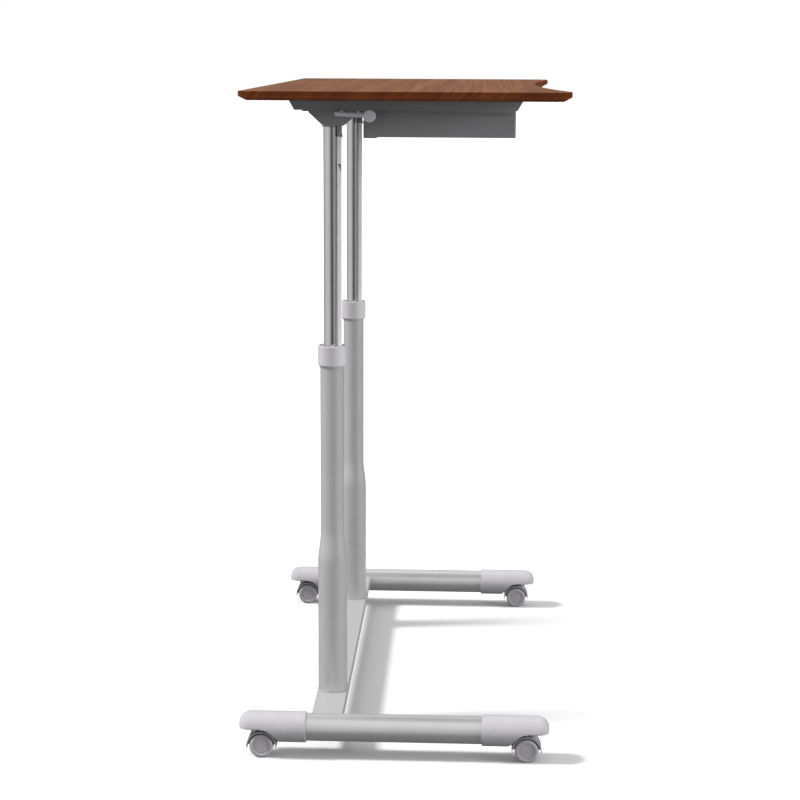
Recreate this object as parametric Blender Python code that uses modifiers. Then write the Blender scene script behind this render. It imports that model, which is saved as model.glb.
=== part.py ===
"""Hand-cranked height-adjustable desk on casters.

Frame: metres, +Z up, origin on the floor under the middle of the desk's box.
-Y is the side where the user sits, -X is the left end, which carries the crank.
The desk stands at the top of its travel, with its drawer shut and its crank stowed.
"""
import math

import bmesh
import bpy
from mathutils import Matrix, Vector

# --- driving dimensions -------------------------------------------------------------
GAP = 0.0003                 # between pieces that touch
ROUND = 24                   # steps round a tube
FINE = 16                    # steps round a small turned piece

# work top
TOP_WIDTH = 1.200
TOP_REAR = 0.2700
TOP_FRONT = -0.2970          # tips of the two front lobes
TOP_Z = 1.2400
TOP_THICK = 0.0160
TOP_BAND = 0.0085            # upright part of the edge
TOP_BEVEL_IN = 0.0137        # how far the underside bevel runs in
TOP_EASE = 0.0007
REAR_CORNER = 0.0080
FRONT_CORNER = 0.0280
NOTCH_HALF = 0.5400          # half width of the hollow front edge
NOTCH_DEPTH = 0.0440
UNDERSIDE = TOP_Z - TOP_THICK

# legs
LEG_X = 0.3020
LEG_Y = 0.1345               # axis of the outer tube and its collar
TUBE_Y = 0.1367              # axis of the chrome tube, its screw and its nut
UPPER_R = 0.0224
LOWER_R = 0.0280
TUBE_WALL = 0.0012
FLARE_TOP = 0.3960
FLARE_BOTTOM = 0.3280
INNER_R = 0.0127
INNER_BORE = 0.0112
INNER_LOW = 0.5250
OUTER_TOP = 0.7465
COLLAR_LOW = 0.7161
COLLAR_HIGH = 0.7568
COLLAR_R = 0.02675
STRIP_FRONT = 0.1154
STRIP_HALF = 0.0045
STRIP_TOP = 1.1498

# steelwork under the top
BRACKET_LOW = 1.1990
BRACKET_REAR, BRACKET_REAR_SLOPE = 0.2155, 0.0135
BRACKET_FRONT, BRACKET_FRONT_SLOPE = -0.2245, 0.0144
BRACKET_WIDTH = 0.0400
BRACKET_WALL = 0.0025
HEAD_LOW = 1.1702
HEAD_HIGH = BRACKET_LOW - GAP
HEAD_WIDTH = 0.0380
HEAD_WALL = 0.0025
HEAD_SLOPE_TOP = 1.1943
HEAD_BORE_TOP = 1.2050
CHANNEL_LOW = 1.1850

# lifting gear
SCREW_R = 0.0060
SCREW_LOW = 0.5710
SCREW_TOP = 1.2000
POST_R = 0.0098
NUT_LOW = 0.5950
NUT_HIGH = 0.6190
SHAFT_Y = 0.1197
SHAFT_Z = 1.1940
SHAFT_R = 0.0065
SHAFT_BORE = 0.0049
GEAR_TEETH = 10
SHAFT_GEAR_R = 0.0097
SCREW_GEAR_R = 0.0069

# crank
ROD_R = 0.0045
ROD_END = -0.0450
ARM_X = -0.3705
KNOB_Y = 0.0581
KNOB_Z = 1.1914
KNOB_R = 0.0111
KNOB_NEAR = -0.3800
KNOB_FAR = -0.4065

# drawer
DRAWER_HALF = 0.2450
DRAWER_FRONT = -0.2093
DRAWER_REAR = 0.0787
DRAWER_LOW = 1.1460
DRAWER_HIGH = 1.1960
DRAWER_WALL = 0.0020
LIP_HALF = 0.2515

# base
BEAM_TOP = 0.0700
BEAM_LOW = 0.0535
BEAM_DEPTH = 0.0590
BEAM_WALL = 0.0025
FOOT_X = 0.4760
FOOT_Z = 0.0567
FOOT_R = 0.0258
FOOT_WALL = 0.0018
CAP_R = 0.0290
CAP_LENGTH = 0.1260
CAP_NOSE = 0.0270
NOSE_FLAT = 0.0030
NOSE_POWER = 2.6             # 2 is an ellipse; more is blunter
CAP_SOCKET = 0.0430          # how far the foot tube goes into the cap
SWIVEL_REAR = 0.2675
SWIVEL_FRONT = -0.2560
SWIVEL_TO_TIP = 0.0295

# casters
WHEEL_R = 0.0225
WHEEL_WIDTH = 0.0150
WHEEL_INNER = 0.0032         # inner face of each wheel from the middle of the caster
WHEEL_TRAIL = 0.0125
WHEEL_STEPS = 20
AXLE_R = 0.0030
HOOD_R = 0.0280
HOOD_BORE = 0.0253
HOOD_HALF = 0.0165
WEB_THICK = 0.0050
STEM_R = 0.0040
STEM_TOP = 0.0740
RECESS_TOP = 0.0590
NECK_R = 0.0080


# --- scene and materials ------------------------------------------------------------
for old in list(bpy.data.objects):
    bpy.data.objects.remove(old, do_unlink=True)

PARTS = bpy.data.collections.new("crank_desk")
CUTTERS = bpy.data.collections.new("cutters")
for group in (PARTS, CUTTERS):
    bpy.context.scene.collection.children.link(group)


def principled(name, colour, roughness, metallic):
    """A material with one Principled BSDF."""
    material = bpy.data.materials.new(name)
    material.use_nodes = True
    shader = material.node_tree.nodes["Principled BSDF"]
    shader.inputs["Base Color"].default_value = (*colour, 1.0)
    shader.inputs["Roughness"].default_value = roughness
    shader.inputs["Metallic"].default_value = metallic
    return material


WOOD = principled("brown_laminate", (0.20, 0.09, 0.05), 0.45, 0.0)
GREY_STEEL = principled("grey_painted_steel", (0.09, 0.09, 0.10), 0.50, 0.0)
SILVER_STEEL = principled("silver_painted_steel", (0.33, 0.33, 0.34), 0.40, 0.6)
CHROME = principled("chrome", (0.75, 0.75, 0.77), 0.08, 1.0)
PALE_PLASTIC = principled("pale_grey_plastic", (0.52, 0.51, 0.56), 0.55, 0.0)
WHEEL_PLASTIC = principled("wheel_plastic", (0.30, 0.29, 0.32), 0.60, 0.0)
HOOD_PLASTIC = principled("hood_plastic", (0.12, 0.12, 0.13), 0.60, 0.0)
BRIGHT_STEEL = principled("bright_steel", (0.55, 0.55, 0.57), 0.30, 1.0)
KNOB_PLASTIC = principled("knob_plastic", (0.25, 0.25, 0.27), 0.50, 0.0)
NUT_PLASTIC = principled("nut_plastic", (0.70, 0.68, 0.60), 0.50, 0.0)
BRASS = principled("gear_brass", (0.60, 0.45, 0.20), 0.35, 1.0)


# --- shape helpers ------------------------------------------------------------------
def place(name, mesh, material, location=(0.0, 0.0, 0.0), turn=(0.0, 0.0, 0.0)):
    """A named object for a mesh; a piece with no material is a cutter."""
    piece = bpy.data.objects.new(name, mesh)
    piece.location = location
    piece.rotation_euler = turn
    if material is None:
        CUTTERS.objects.link(piece)
        hide_guide(piece)
    else:
        PARTS.objects.link(piece)
        mesh.materials.append(material)
    return piece


def hide_guide(piece):
    """Mark an object as a cutter or an operand."""
    piece.hide_render = True
    piece.display_type = "WIRE"


def box(name, low, high, material):
    """An upright block between two corners."""
    low, high = Vector(low), Vector(high)
    bm = bmesh.new()
    bmesh.ops.create_cube(bm, size=1.0)
    size = high - low
    bmesh.ops.scale(bm, vec=size, verts=bm.verts)
    mesh = bpy.data.meshes.new(name)
    bm.to_mesh(mesh)
    bm.free()
    return place(name, mesh, material, (low + high) / 2)


def rod(name, radius, length, centre, material, turn=(0.0, 0.0, 0.0), steps=FINE):
    """A plain round bar along its own Z."""
    bm = bmesh.new()
    bmesh.ops.create_cone(bm, cap_ends=True, segments=steps, radius1=radius, radius2=radius, depth=length)
    mesh = bpy.data.meshes.new(name)
    bm.to_mesh(mesh)
    bm.free()
    mesh.shade_smooth()
    mesh.set_sharp_from_angle(angle=math.radians(40))
    return place(name, mesh, material, centre, turn)


def turned(name, profile, material, location=(0.0, 0.0, 0.0), turn=(0.0, 0.0, 0.0), steps=ROUND):
    """A turned piece about its own Z; the (radius, height) profile runs down the outer side."""
    mesh = bpy.data.meshes.new(name)
    corners = [(radius, 0.0, height) for radius, height in profile]
    edges = [(i, i + 1) for i in range(len(corners) - 1)]
    is_ring = profile[0][0] > 0.0
    if is_ring:
        edges.append((len(corners) - 1, 0))
    mesh.from_pydata(corners, edges, [])
    piece = place(name, mesh, material, location, turn)
    screw = piece.modifiers.new("turn", "SCREW")
    screw.steps = steps
    screw.render_steps = steps
    screw.use_merge_vertices = True
    screw.merge_threshold = 0.00005
    screw.use_smooth_shade = True
    return piece


def as_mesh(source):
    """The welded mesh of a curve object, which is then removed."""
    graph = bpy.context.evaluated_depsgraph_get()
    mesh = bpy.data.meshes.new_from_object(source.evaluated_get(graph))
    mesh.materials.clear()
    bm = bmesh.new()
    bm.from_mesh(mesh)
    bmesh.ops.remove_doubles(bm, verts=bm.verts, dist=0.00002)
    bmesh.ops.recalc_face_normals(bm, faces=bm.faces)
    bm.to_mesh(mesh)
    bm.free()
    bpy.data.objects.remove(source, do_unlink=True)
    return mesh


ALONG_X = Matrix(((0, 0, 1, 0), (1, 0, 0, 0), (0, 1, 0, 0), (0, 0, 0, 1)))   # outline in YZ
ALONG_Y = Matrix(((1, 0, 0, 0), (0, 0, -1, 0), (0, 1, 0, 0), (0, 0, 0, 1)))  # outline in XZ


def extruded(name, outline, length, lie, material, location=(0.0, 0.0, 0.0)):
    """A flat outline with a length, laid along X or Y by the matrix lie."""
    curve = bpy.data.curves.new(name + "_outline", "CURVE")
    curve.dimensions = "2D"
    curve.fill_mode = "BOTH"
    curve.extrude = length / 2
    spline = curve.splines.new("POLY")
    spline.points.add(len(outline) - 1)
    for point, (across, up) in zip(spline.points, outline):
        point.co = (across, up, 0.0, 1.0)
    spline.use_cyclic_u = True
    sheet = bpy.data.objects.new(name + "_outline", curve)
    PARTS.objects.link(sheet)
    mesh = as_mesh(sheet)
    mesh.transform(lie)
    return place(name, mesh, material, location)


def arc(centre, radius, start, end, steps):
    """Points of an arc in a plane, angles in degrees."""
    points = []
    for i in range(steps + 1):
        angle = math.radians(start + (end - start) * i / steps)
        points.append((centre[0] + radius * math.cos(angle), centre[1] + radius * math.sin(angle)))
    return points


def filleted(points, radius, steps=4):
    """An open or closed run of points with each inner corner rounded to a radius."""
    rounded = [points[0]]
    for before, corner, after in zip(points, points[1:], points[2:]):
        corner = Vector(corner)
        back = (Vector(before) - corner).normalized()
        ahead = (Vector(after) - corner).normalized()
        half = back.angle(ahead) / 2
        reach = radius / math.tan(half)
        start, end = corner + back * reach, corner + ahead * reach
        centre = corner + (back + ahead).normalized() * radius / math.sin(half)
        for i in range(steps + 1):
            spoke = (start - centre).lerp(end - centre, i / steps).normalized() * radius
            rounded.append(tuple(centre + spoke))
    rounded.append(points[-1])
    return rounded


def loft(name, rings, material, location=(0.0, 0.0, 0.0), turn=(0.0, 0.0, 0.0)):
    """A closed body through rings that all have the same number of points."""
    bm = bmesh.new()
    layers = [[bm.verts.new(point) for point in ring] for ring in rings]
    count = len(rings[0])
    for lower, upper in zip(layers, layers[1:]):
        for i in range(count):
            j = (i + 1) % count
            bm.faces.new((lower[i], lower[j], upper[j], upper[i]))
    bm.faces.new(list(reversed(layers[0])))
    bm.faces.new(layers[-1])
    bmesh.ops.recalc_face_normals(bm, faces=bm.faces)
    mesh = bpy.data.meshes.new(name)
    bm.to_mesh(mesh)
    bm.free()
    return place(name, mesh, material, location, turn)


def combine(piece, other, operation="DIFFERENCE", use_self=False):
    """Cut another body out of a piece, or join it on."""
    modifier = piece.modifiers.new(other.name, "BOOLEAN")
    modifier.operation = operation
    modifier.object = other
    modifier.use_self = use_self
    return piece


# --- body frames --------------------------------------------------------------------
def frame_at(name, location, parent=None, turn=0.0):
    """An empty on a joint's axis, which its moving pieces hang from."""
    empty = bpy.data.objects.new(name, None)
    empty.empty_display_size = 0.03
    empty.location = location
    empty.rotation_euler.z = turn
    PARTS.objects.link(empty)
    if parent is not None:
        hang(parent, empty)
    return empty


def hang(frame, *pieces):
    """Parent pieces to a frame and leave them where they stand."""
    bpy.context.view_layer.update()
    for piece in pieces:
        piece.parent = frame
        piece.matrix_parent_inverse = frame.matrix_world.inverted()


TO_X = (0.0, math.pi / 2, 0.0)       # turns a piece's own Z to +X
TO_LEFT = (0.0, -math.pi / 2, 0.0)   # turns a piece's own Z to -X
TO_Y = (-math.pi / 2, 0.0, 0.0)      # turns a piece's own Z to +Y
SIDES = (("left", -1), ("right", 1))


# --- work top and steelwork ---------------------------------------------------------
def top_ring(inset, height):
    """Plan outline of the top at one height, drawn in by inset."""
    half = TOP_WIDTH / 2 - inset
    rear, tip = TOP_REAR - inset, TOP_FRONT + inset
    rear_r = max(REAR_CORNER - inset, 0.001)
    front_r = max(FRONT_CORNER - inset, 0.001)
    outline = arc((half - front_r, tip + front_r), front_r, -90, 0, 6)
    outline += arc((half - rear_r, rear - rear_r), rear_r, 0, 90, 4)
    outline += arc((rear_r - half, rear - rear_r), rear_r, 90, 180, 4)
    outline += arc((front_r - half, tip + front_r), front_r, 180, 270, 6)
    radius = (NOTCH_HALF ** 2 + NOTCH_DEPTH ** 2) / (2 * NOTCH_DEPTH)
    centre_y = TOP_FRONT + NOTCH_DEPTH - radius
    spread = math.degrees(math.acos((tip - centre_y) / (radius + inset)))
    outline += arc((0.0, centre_y), radius + inset, 90 + spread, 90 - spread, 20)
    return [(x, y, height) for x, y in outline]


def table_top():
    """The work top: upright band, then a long bevel underneath."""
    rings = [
        top_ring(TOP_BEVEL_IN, UNDERSIDE),
        top_ring(0.0, TOP_Z - TOP_BAND),
        top_ring(0.0, TOP_Z - TOP_EASE),
        top_ring(TOP_EASE, TOP_Z),
    ]
    return loft("table_top", rings, WOOD)


def side_bracket(side, sign):
    """A channel under each end of the top, open below, with sloped ends."""
    high = UNDERSIDE - GAP
    outline = [(BRACKET_FRONT + BRACKET_FRONT_SLOPE, BRACKET_LOW),
               (BRACKET_REAR - BRACKET_REAR_SLOPE, BRACKET_LOW), (BRACKET_REAR, high), (BRACKET_FRONT, high)]
    piece = extruded("side_bracket_" + side, outline, BRACKET_WIDTH, ALONG_X, GREY_STEEL,
                     (sign * LEG_X, 0.0, 0.0))
    inside = BRACKET_WIDTH / 2 - BRACKET_WALL
    hollow = box("bracket_hollow_" + side, (sign * LEG_X - inside, -0.25, BRACKET_LOW - 0.01),
                 (sign * LEG_X + inside, 0.25, high - BRACKET_WALL), None)
    combine(piece, hollow)
    return combine(piece, shaft_notch("bracket_" + side, sign))


def shaft_notch(name, sign):
    """Cutter for the drive shaft: through both walls on the left, the inner wall on the right."""
    low = -0.3400 if sign < 0 else 0.2700
    high = -0.2700 if sign < 0 else 0.3000
    return rod(name + "_shaft_notch", SHAFT_R + 0.0006, high - low,
               ((low + high) / 2, SHAFT_Y, SHAFT_Z), None, TO_X)


def cross_channel():
    """A channel that ties the brackets together and covers the drive shaft."""
    low, high = CHANNEL_LOW, UNDERSIDE - GAP
    half, wall = 0.0160, 0.0022
    outline = [(-half, low), (wall - half, low), (wall - half, high - wall), (half - wall, high - wall),
               (half - wall, low), (half, low), (half, high), (-half, high)]
    length = 2 * (LEG_X - BRACKET_WIDTH / 2 - GAP)
    return extruded("cross_channel", outline, length, ALONG_X, GREY_STEEL, (0.0, SHAFT_Y, 0.0))


def leg_head(side, sign):
    """The gear housing on top of each leg: an open-topped pressing with a rim."""
    front, rear = 0.1102, 0.1487
    slope_y, slope_z = 0.0263, HEAD_SLOPE_TOP
    rounding = 0.0100
    slopes = [(front - slope_y, slope_z), (front, HEAD_LOW), (rear, HEAD_LOW), (rear + slope_y, slope_z)]
    rim_z = HEAD_HIGH - 0.0020
    outline = filleted(slopes, rounding) + [(0.1756, rim_z), (0.1871, rim_z), (0.1871, HEAD_HIGH),
                                            (0.0720, HEAD_HIGH), (0.0720, rim_z), (0.0833, rim_z)]
    piece = extruded("leg_head_" + side, outline, HEAD_WIDTH, ALONG_X, GREY_STEEL,
                     (sign * LEG_X, 0.0, 0.0))
    floor = HEAD_LOW + HEAD_WALL
    inside = [(0.1112, floor), (0.1477, floor), (0.1830, HEAD_BORE_TOP), (0.0759, HEAD_BORE_TOP)]
    hollow = extruded("head_hollow_" + side, inside, HEAD_WIDTH - 2 * HEAD_WALL, ALONG_X, None,
                      (sign * LEG_X, 0.0, 0.0))
    screw_hole = rod("head_screw_hole_" + side, SCREW_R + 0.0008, 0.02,
                     (sign * LEG_X, TUBE_Y, HEAD_LOW), None)
    combine(piece, hollow, use_self=True)
    combine(piece, screw_hole, use_self=True)
    return combine(piece, shaft_notch("head_" + side, sign), use_self=True)


def drawer_runner(side, sign):
    """An angle that hangs under the top and carries the drawer's lip on its foot."""
    web, wall = 0.2520, 0.0020
    foot_top = DRAWER_HIGH - 0.0020 - GAP
    foot_low = foot_top - 0.0022
    high = UNDERSIDE - GAP
    outline = [(0.2460, foot_low), (web + wall, foot_low), (web + wall, high - wall),
               (0.2700, high - wall), (0.2700, high), (web, high), (web, foot_top), (0.2460, foot_top)]
    outline = [(sign * x, z) for x, z in outline][::sign]
    return extruded("drawer_runner_" + side, outline, 0.2850, ALONG_Y, GREY_STEEL, (0.0, -0.0575, 0.0))


# --- legs ---------------------------------------------------------------------------
def flare(top_r, bottom_r, steps=4):
    """Radius and height down the smooth step between the two tube sizes."""
    points = []
    for i in range(steps + 1):
        share = i / steps
        blend = (1 - math.cos(math.pi * share)) / 2
        points.append((top_r + (bottom_r - top_r) * blend, FLARE_TOP + (FLARE_BOTTOM - FLARE_TOP) * share))
    return points


def outer_tube(side, sign):
    """The fixed leg tube, wider in its lower third."""
    high, low = OUTER_TOP, BEAM_TOP + GAP
    outside = [(UPPER_R, high)] + flare(UPPER_R, LOWER_R) + [(LOWER_R, low)]
    upper_bore, lower_bore = UPPER_R - TUBE_WALL, LOWER_R - TUBE_WALL
    inside = [(lower_bore, low)] + flare(upper_bore, lower_bore)[::-1] + [(upper_bore, high)]
    return turned("outer_tube_" + side, outside + inside, SILVER_STEEL, (sign * LEG_X, LEG_Y, 0.0))


def collar(side, sign):
    """The plastic guide on top of the outer tube, with a hole for the tube and its strip."""
    deck, web = COLLAR_HIGH - 0.0033, COLLAR_HIGH - 0.0098
    bore = UPPER_R + GAP
    profile = [(0.0, deck), (0.0222, deck), (0.0228, COLLAR_HIGH), (0.0256, COLLAR_HIGH),
               (COLLAR_R, COLLAR_HIGH - 0.0012), (COLLAR_R, COLLAR_LOW + 0.0036),
               (COLLAR_R - 0.0025, COLLAR_LOW), (bore, COLLAR_LOW), (bore, web), (0.0, web)]
    piece = turned("collar_" + side, profile, PALE_PLASTIC, (sign * LEG_X, LEG_Y, 0.0))
    hole = rod("collar_hole_" + side, INNER_R + 0.0005, 0.04, (sign * LEG_X, TUBE_Y, COLLAR_HIGH),
               None, steps=ROUND)
    half = STRIP_HALF + 0.0005
    slot = box("collar_slot_" + side, (sign * LEG_X - half, STRIP_FRONT - 0.0006, COLLAR_HIGH - 0.02),
               (sign * LEG_X + half, TUBE_Y - 0.0050, COLLAR_HIGH + 0.02), None)
    combine(piece, hole)
    return combine(piece, slot)


def inner_tube(side, sign):
    """The chrome tube that carries the top."""
    high = HEAD_LOW - GAP
    profile = [(INNER_R, high), (INNER_R, INNER_LOW), (INNER_BORE, INNER_LOW), (INNER_BORE, high)]
    return turned("inner_tube_" + side, profile, CHROME, (sign * LEG_X, TUBE_Y, 0.0))


def tube_bush(side, sign):
    """The slide bush round the foot of the chrome tube, inside the outer tube."""
    low, high = INNER_LOW, INNER_LOW + 0.0300
    profile = [(0.0, high), (0.0205, high), (0.0205, low), (0.0, low)]
    piece = turned("tube_bush_" + side, profile, NUT_PLASTIC, (sign * LEG_X, LEG_Y, 0.0))
    bore = rod("bush_bore_" + side, INNER_R + GAP, 0.10, (sign * LEG_X, TUBE_Y, INNER_LOW),
               None, steps=ROUND)
    return combine(piece, bore)


def guide_strip(side, sign):
    """The flat bar beside the chrome tube that stops it from turning."""
    rear = TUBE_Y - INNER_R - GAP
    return box("guide_strip_" + side, (sign * LEG_X - STRIP_HALF, STRIP_FRONT, INNER_LOW + 0.0310),
               (sign * LEG_X + STRIP_HALF, rear, STRIP_TOP), PALE_PLASTIC)


def strip_bracket(side, sign):
    """The steel clip that holds the strip's top end, with a small hook in front."""
    rear, low, high = TUBE_Y - INNER_R - GAP, STRIP_TOP + GAP, HEAD_LOW - GAP
    front = STRIP_FRONT - 0.0002
    outline = [(front, high), (front, low + 0.0040), (front - 0.0014, low + 0.0022),
               (front - 0.0012, low - 0.0010), (front - GAP, low - 0.0020), (front, low + 0.0004),
               (front + 0.0014, low), (rear, low), (rear, high)]
    return extruded("strip_bracket_" + side, outline, 0.0110, ALONG_X, GREY_STEEL,
                    (sign * LEG_X, 0.0, 0.0))


# --- lifting gear -------------------------------------------------------------------
def nut_post(side, sign):
    """The post inside the leg that carries the nut."""
    high, low, bore = NUT_LOW - GAP, BEAM_TOP + GAP, 0.0080
    profile = [(POST_R, high), (POST_R, low), (bore, low), (bore, high)]
    return turned("nut_post_" + side, profile, SILVER_STEEL, (sign * LEG_X, TUBE_Y, 0.0), steps=FINE)


def lead_nut(side, sign):
    """The nut that the lead screw climbs in."""
    bore = SCREW_R + GAP
    profile = [(POST_R, NUT_HIGH), (POST_R, NUT_LOW), (bore, NUT_LOW), (bore, NUT_HIGH)]
    return turned("lead_nut_" + side, profile, NUT_PLASTIC, (sign * LEG_X, TUBE_Y, 0.0), steps=FINE)


def lead_screw(side, sign):
    """The screw that hangs from the head, down through the chrome tube."""
    high, ease = SCREW_TOP, 0.0008
    profile = [(0.0, high), (SCREW_R - ease, high), (SCREW_R, high - ease), (SCREW_R, SCREW_LOW + ease),
               (SCREW_R - ease, SCREW_LOW), (0.0, SCREW_LOW)]
    return turned("lead_screw_" + side, profile, BRIGHT_STEEL, (sign * LEG_X, TUBE_Y, 0.0), steps=FINE)


def helical_gear(name, radius, root, bore, width, centre, turn):
    """A small crossed-helical gear with a plain bore."""
    rings = []
    twist = math.radians(20)
    for share in (0.0, 0.5, 1.0):
        ring = []
        for tooth in range(GEAR_TEETH):
            for part, reach in ((0.05, root), (0.35, radius), (0.65, radius), (0.95, root)):
                angle = 2 * math.pi * (tooth + part) / GEAR_TEETH + twist * share
                ring.append((reach * math.cos(angle), reach * math.sin(angle), width * (share - 0.5)))
        rings.append(ring)
    piece = loft(name, rings, BRASS, centre, turn)
    hole = rod(name + "_bore", bore, width * 2, centre, None, turn)
    return combine(piece, hole)


def drive_shaft():
    """The hollow shaft that joins the two heads and takes the crank rod in its left end."""
    low, high = -0.3195, 0.3110
    half = (high - low) / 2
    profile = [(SHAFT_R, half), (SHAFT_R, -half), (SHAFT_BORE, -half), (SHAFT_BORE, half)]
    return turned("drive_shaft", profile, BRIGHT_STEEL, ((low + high) / 2, SHAFT_Y, SHAFT_Z), TO_X, FINE)


# --- crank --------------------------------------------------------------------------
def crank_socket():
    """The ring that the crank rod turns and slides in, outside the left head."""
    near, far, outer = -0.3224, -0.3500, 0.0078
    half = (near - far) / 2
    profile = [(outer - 0.0010, half), (outer, half - 0.0010), (outer, 0.0010 - half),
               (outer - 0.0010, -half), (SHAFT_BORE, -half), (SHAFT_BORE, half)]
    return turned("crank_socket", profile, GREY_STEEL, ((near + far) / 2, SHAFT_Y, SHAFT_Z), TO_LEFT, FINE)


def crank_arm():
    """One round bar: rod into the drive shaft, arm forwards, and a short end for the knob."""
    corners = [Vector((ROD_END, SHAFT_Y, SHAFT_Z)), Vector((ARM_X, SHAFT_Y, SHAFT_Z)),
               Vector((ARM_X, KNOB_Y, KNOB_Z)), Vector((KNOB_NEAR + 0.0006, KNOB_Y, KNOB_Z))]
    path = filleted(corners, 0.0078, steps=5)
    curve = bpy.data.curves.new("crank_path", "CURVE")
    curve.dimensions = "3D"
    curve.bevel_depth = ROD_R
    curve.bevel_resolution = 6
    curve.use_fill_caps = True
    spline = curve.splines.new("POLY")
    spline.points.add(len(path) - 1)
    for point, spot in zip(spline.points, path):
        point.co = (*spot, 1.0)
    wire = bpy.data.objects.new("crank_path", curve)
    PARTS.objects.link(wire)
    mesh = as_mesh(wire)
    mesh.shade_smooth()
    mesh.set_sharp_from_angle(angle=math.radians(50))
    axis_spot = Vector((ARM_X, SHAFT_Y, SHAFT_Z))
    mesh.transform(Matrix.Translation(-axis_spot))
    return place("crank_arm", mesh, SILVER_STEEL, axis_spot)


def knob_spindle():
    """The pin that the knob turns on, with a snap groove near its tip."""
    near, far, radius = KNOB_NEAR + 0.0003, KNOB_FAR + 0.0048, 0.0029
    length = near - far
    profile = [(0.0, length), (radius - 0.0006, length), (radius, length - 0.0008),
               (radius, length - 0.0030), (radius - 0.0005, length - 0.0032),
               (radius - 0.0005, length - 0.0048), (radius, length - 0.0050), (radius, 0.0), (0.0, 0.0)]
    return turned("knob_spindle", profile, BRIGHT_STEEL, (near, KNOB_Y, KNOB_Z), TO_LEFT, 16)


def crank_knob():
    """The round grip, closed at its outer end."""
    length, ease, bore = KNOB_NEAR - KNOB_FAR, 0.0014, 0.0032
    blind = length - 0.0042
    profile = [(0.0, length), (KNOB_R * 0.55, length - 0.0002), (KNOB_R - ease, length - 0.0007),
               (KNOB_R, length - ease - 0.0007), (KNOB_R, ease), (KNOB_R - ease, 0.0), (bore, 0.0),
               (bore, blind), (0.0, blind)]
    return turned("crank_knob", profile, KNOB_PLASTIC, (KNOB_NEAR, KNOB_Y, KNOB_Z), TO_LEFT, FINE)


# --- drawer -------------------------------------------------------------------------
def drawer():
    """A steel tray with a lip along each side, a stop strip behind and a finger notch in front."""
    piece = box("drawer", (-DRAWER_HALF, DRAWER_FRONT, DRAWER_LOW),
                (DRAWER_HALF, DRAWER_REAR, DRAWER_HIGH), GREY_STEEL)
    wall = DRAWER_WALL
    hollow = box("drawer_hollow", (wall - DRAWER_HALF, DRAWER_FRONT + wall, DRAWER_LOW + wall),
                 (DRAWER_HALF - wall, DRAWER_REAR - wall, DRAWER_HIGH + 0.05), None)
    lips = box("drawer_lips", (-LIP_HALF, DRAWER_FRONT + 0.0100, DRAWER_HIGH - 0.0020),
               (LIP_HALF, DRAWER_REAR - 0.0010, DRAWER_HIGH), None)
    stop = box("drawer_stop", (-DRAWER_HALF, DRAWER_REAR - 0.0248, DRAWER_LOW - 0.0020),
               (DRAWER_HALF, DRAWER_REAR, DRAWER_LOW + 0.0010), None)
    notch = box("drawer_notch", (-0.0600, DRAWER_FRONT - 0.01, DRAWER_HIGH - 0.0160),
                (0.0600, DRAWER_FRONT + 0.01, DRAWER_HIGH + 0.01), None)
    combine(piece, lips, "UNION")
    combine(piece, stop, "UNION")
    combine(piece, hollow)
    return combine(piece, notch)


# --- base ---------------------------------------------------------------------------
def foot_tube(side, sign):
    """The round tube along each foot, held in a cap at both ends."""
    rear = SWIVEL_REAR + SWIVEL_TO_TIP - CAP_LENGTH + CAP_SOCKET - GAP
    front = SWIVEL_FRONT - SWIVEL_TO_TIP + CAP_LENGTH - CAP_SOCKET + GAP
    half = (rear - front) / 2
    bore = FOOT_R - FOOT_WALL
    profile = [(FOOT_R, half), (FOOT_R, -half), (bore, -half), (bore, half)]
    return turned("foot_tube_" + side, profile, SILVER_STEEL,
                  (sign * FOOT_X, (rear + front) / 2, FOOT_Z), TO_Y)


def base_beam():
    """The shallow channel between the feet, shaped to the foot tubes at its ends."""
    low, high, half, wall = BEAM_LOW, BEAM_TOP, BEAM_DEPTH / 2, BEAM_WALL
    outline = [(-half, low), (wall - half, low), (wall - half, high - wall), (half - wall, high - wall),
               (half - wall, low), (half, low), (half, high - 0.0015), (half - 0.0015, high),
               (0.0015 - half, high), (-half, high - 0.0015)]
    piece = extruded("base_beam", outline, 2 * FOOT_X, ALONG_X, SILVER_STEEL, (0.0, LEG_Y, 0.0))
    for side, sign in SIDES:
        saddle = rod("beam_saddle_" + side, FOOT_R + GAP, 0.20, (sign * FOOT_X, LEG_Y, FOOT_Z),
                     None, TO_Y, ROUND)
        combine(piece, saddle)
    return piece


# --- casters and end caps -----------------------------------------------------------
def end_cap(name, frame):
    """The moulded foot end: a socket for the tube, a round nose, and a hollow for the caster."""
    tip, inner = SWIVEL_TO_TIP, SWIVEL_TO_TIP - CAP_LENGTH
    nose = [(NOSE_FLAT, tip)]
    steps = 6
    for i in range(1, steps + 1):
        along = math.cos(math.radians(90 * i / steps)) ** 0.8
        swell = (1 - along ** NOSE_POWER) ** (1 / NOSE_POWER)
        nose.append((NOSE_FLAT + (CAP_R - NOSE_FLAT) * swell, tip - CAP_NOSE * (1 - along)))
    bore, depth = FOOT_R + GAP, inner + CAP_SOCKET
    profile = [(0.0, tip)] + nose + [(CAP_R, inner + 0.0010), (CAP_R - 0.0010, inner),
                                     (bore, inner), (bore, depth), (0.0, depth)]
    piece = turned(name, profile, PALE_PLASTIC, (0.0, 0.0, FOOT_Z), TO_Y)
    stem_hole = STEM_R + 0.0005
    recess = [(0.0, STEM_TOP + 0.0020), (stem_hole, STEM_TOP + 0.0020), (stem_hole, RECESS_TOP),
              (0.0300, RECESS_TOP), (0.0330, 0.0582), (0.0360, 0.0555), (0.0417, 0.0490),
              (0.0455, 0.0405), (0.0470, 0.0300), (0.0470, -0.0100), (0.0, -0.0100)]
    cutter = turned(name + "_recess", recess, None, steps=ROUND)
    for part in (piece, cutter):
        part.parent = frame
    return combine(piece, cutter)


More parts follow.
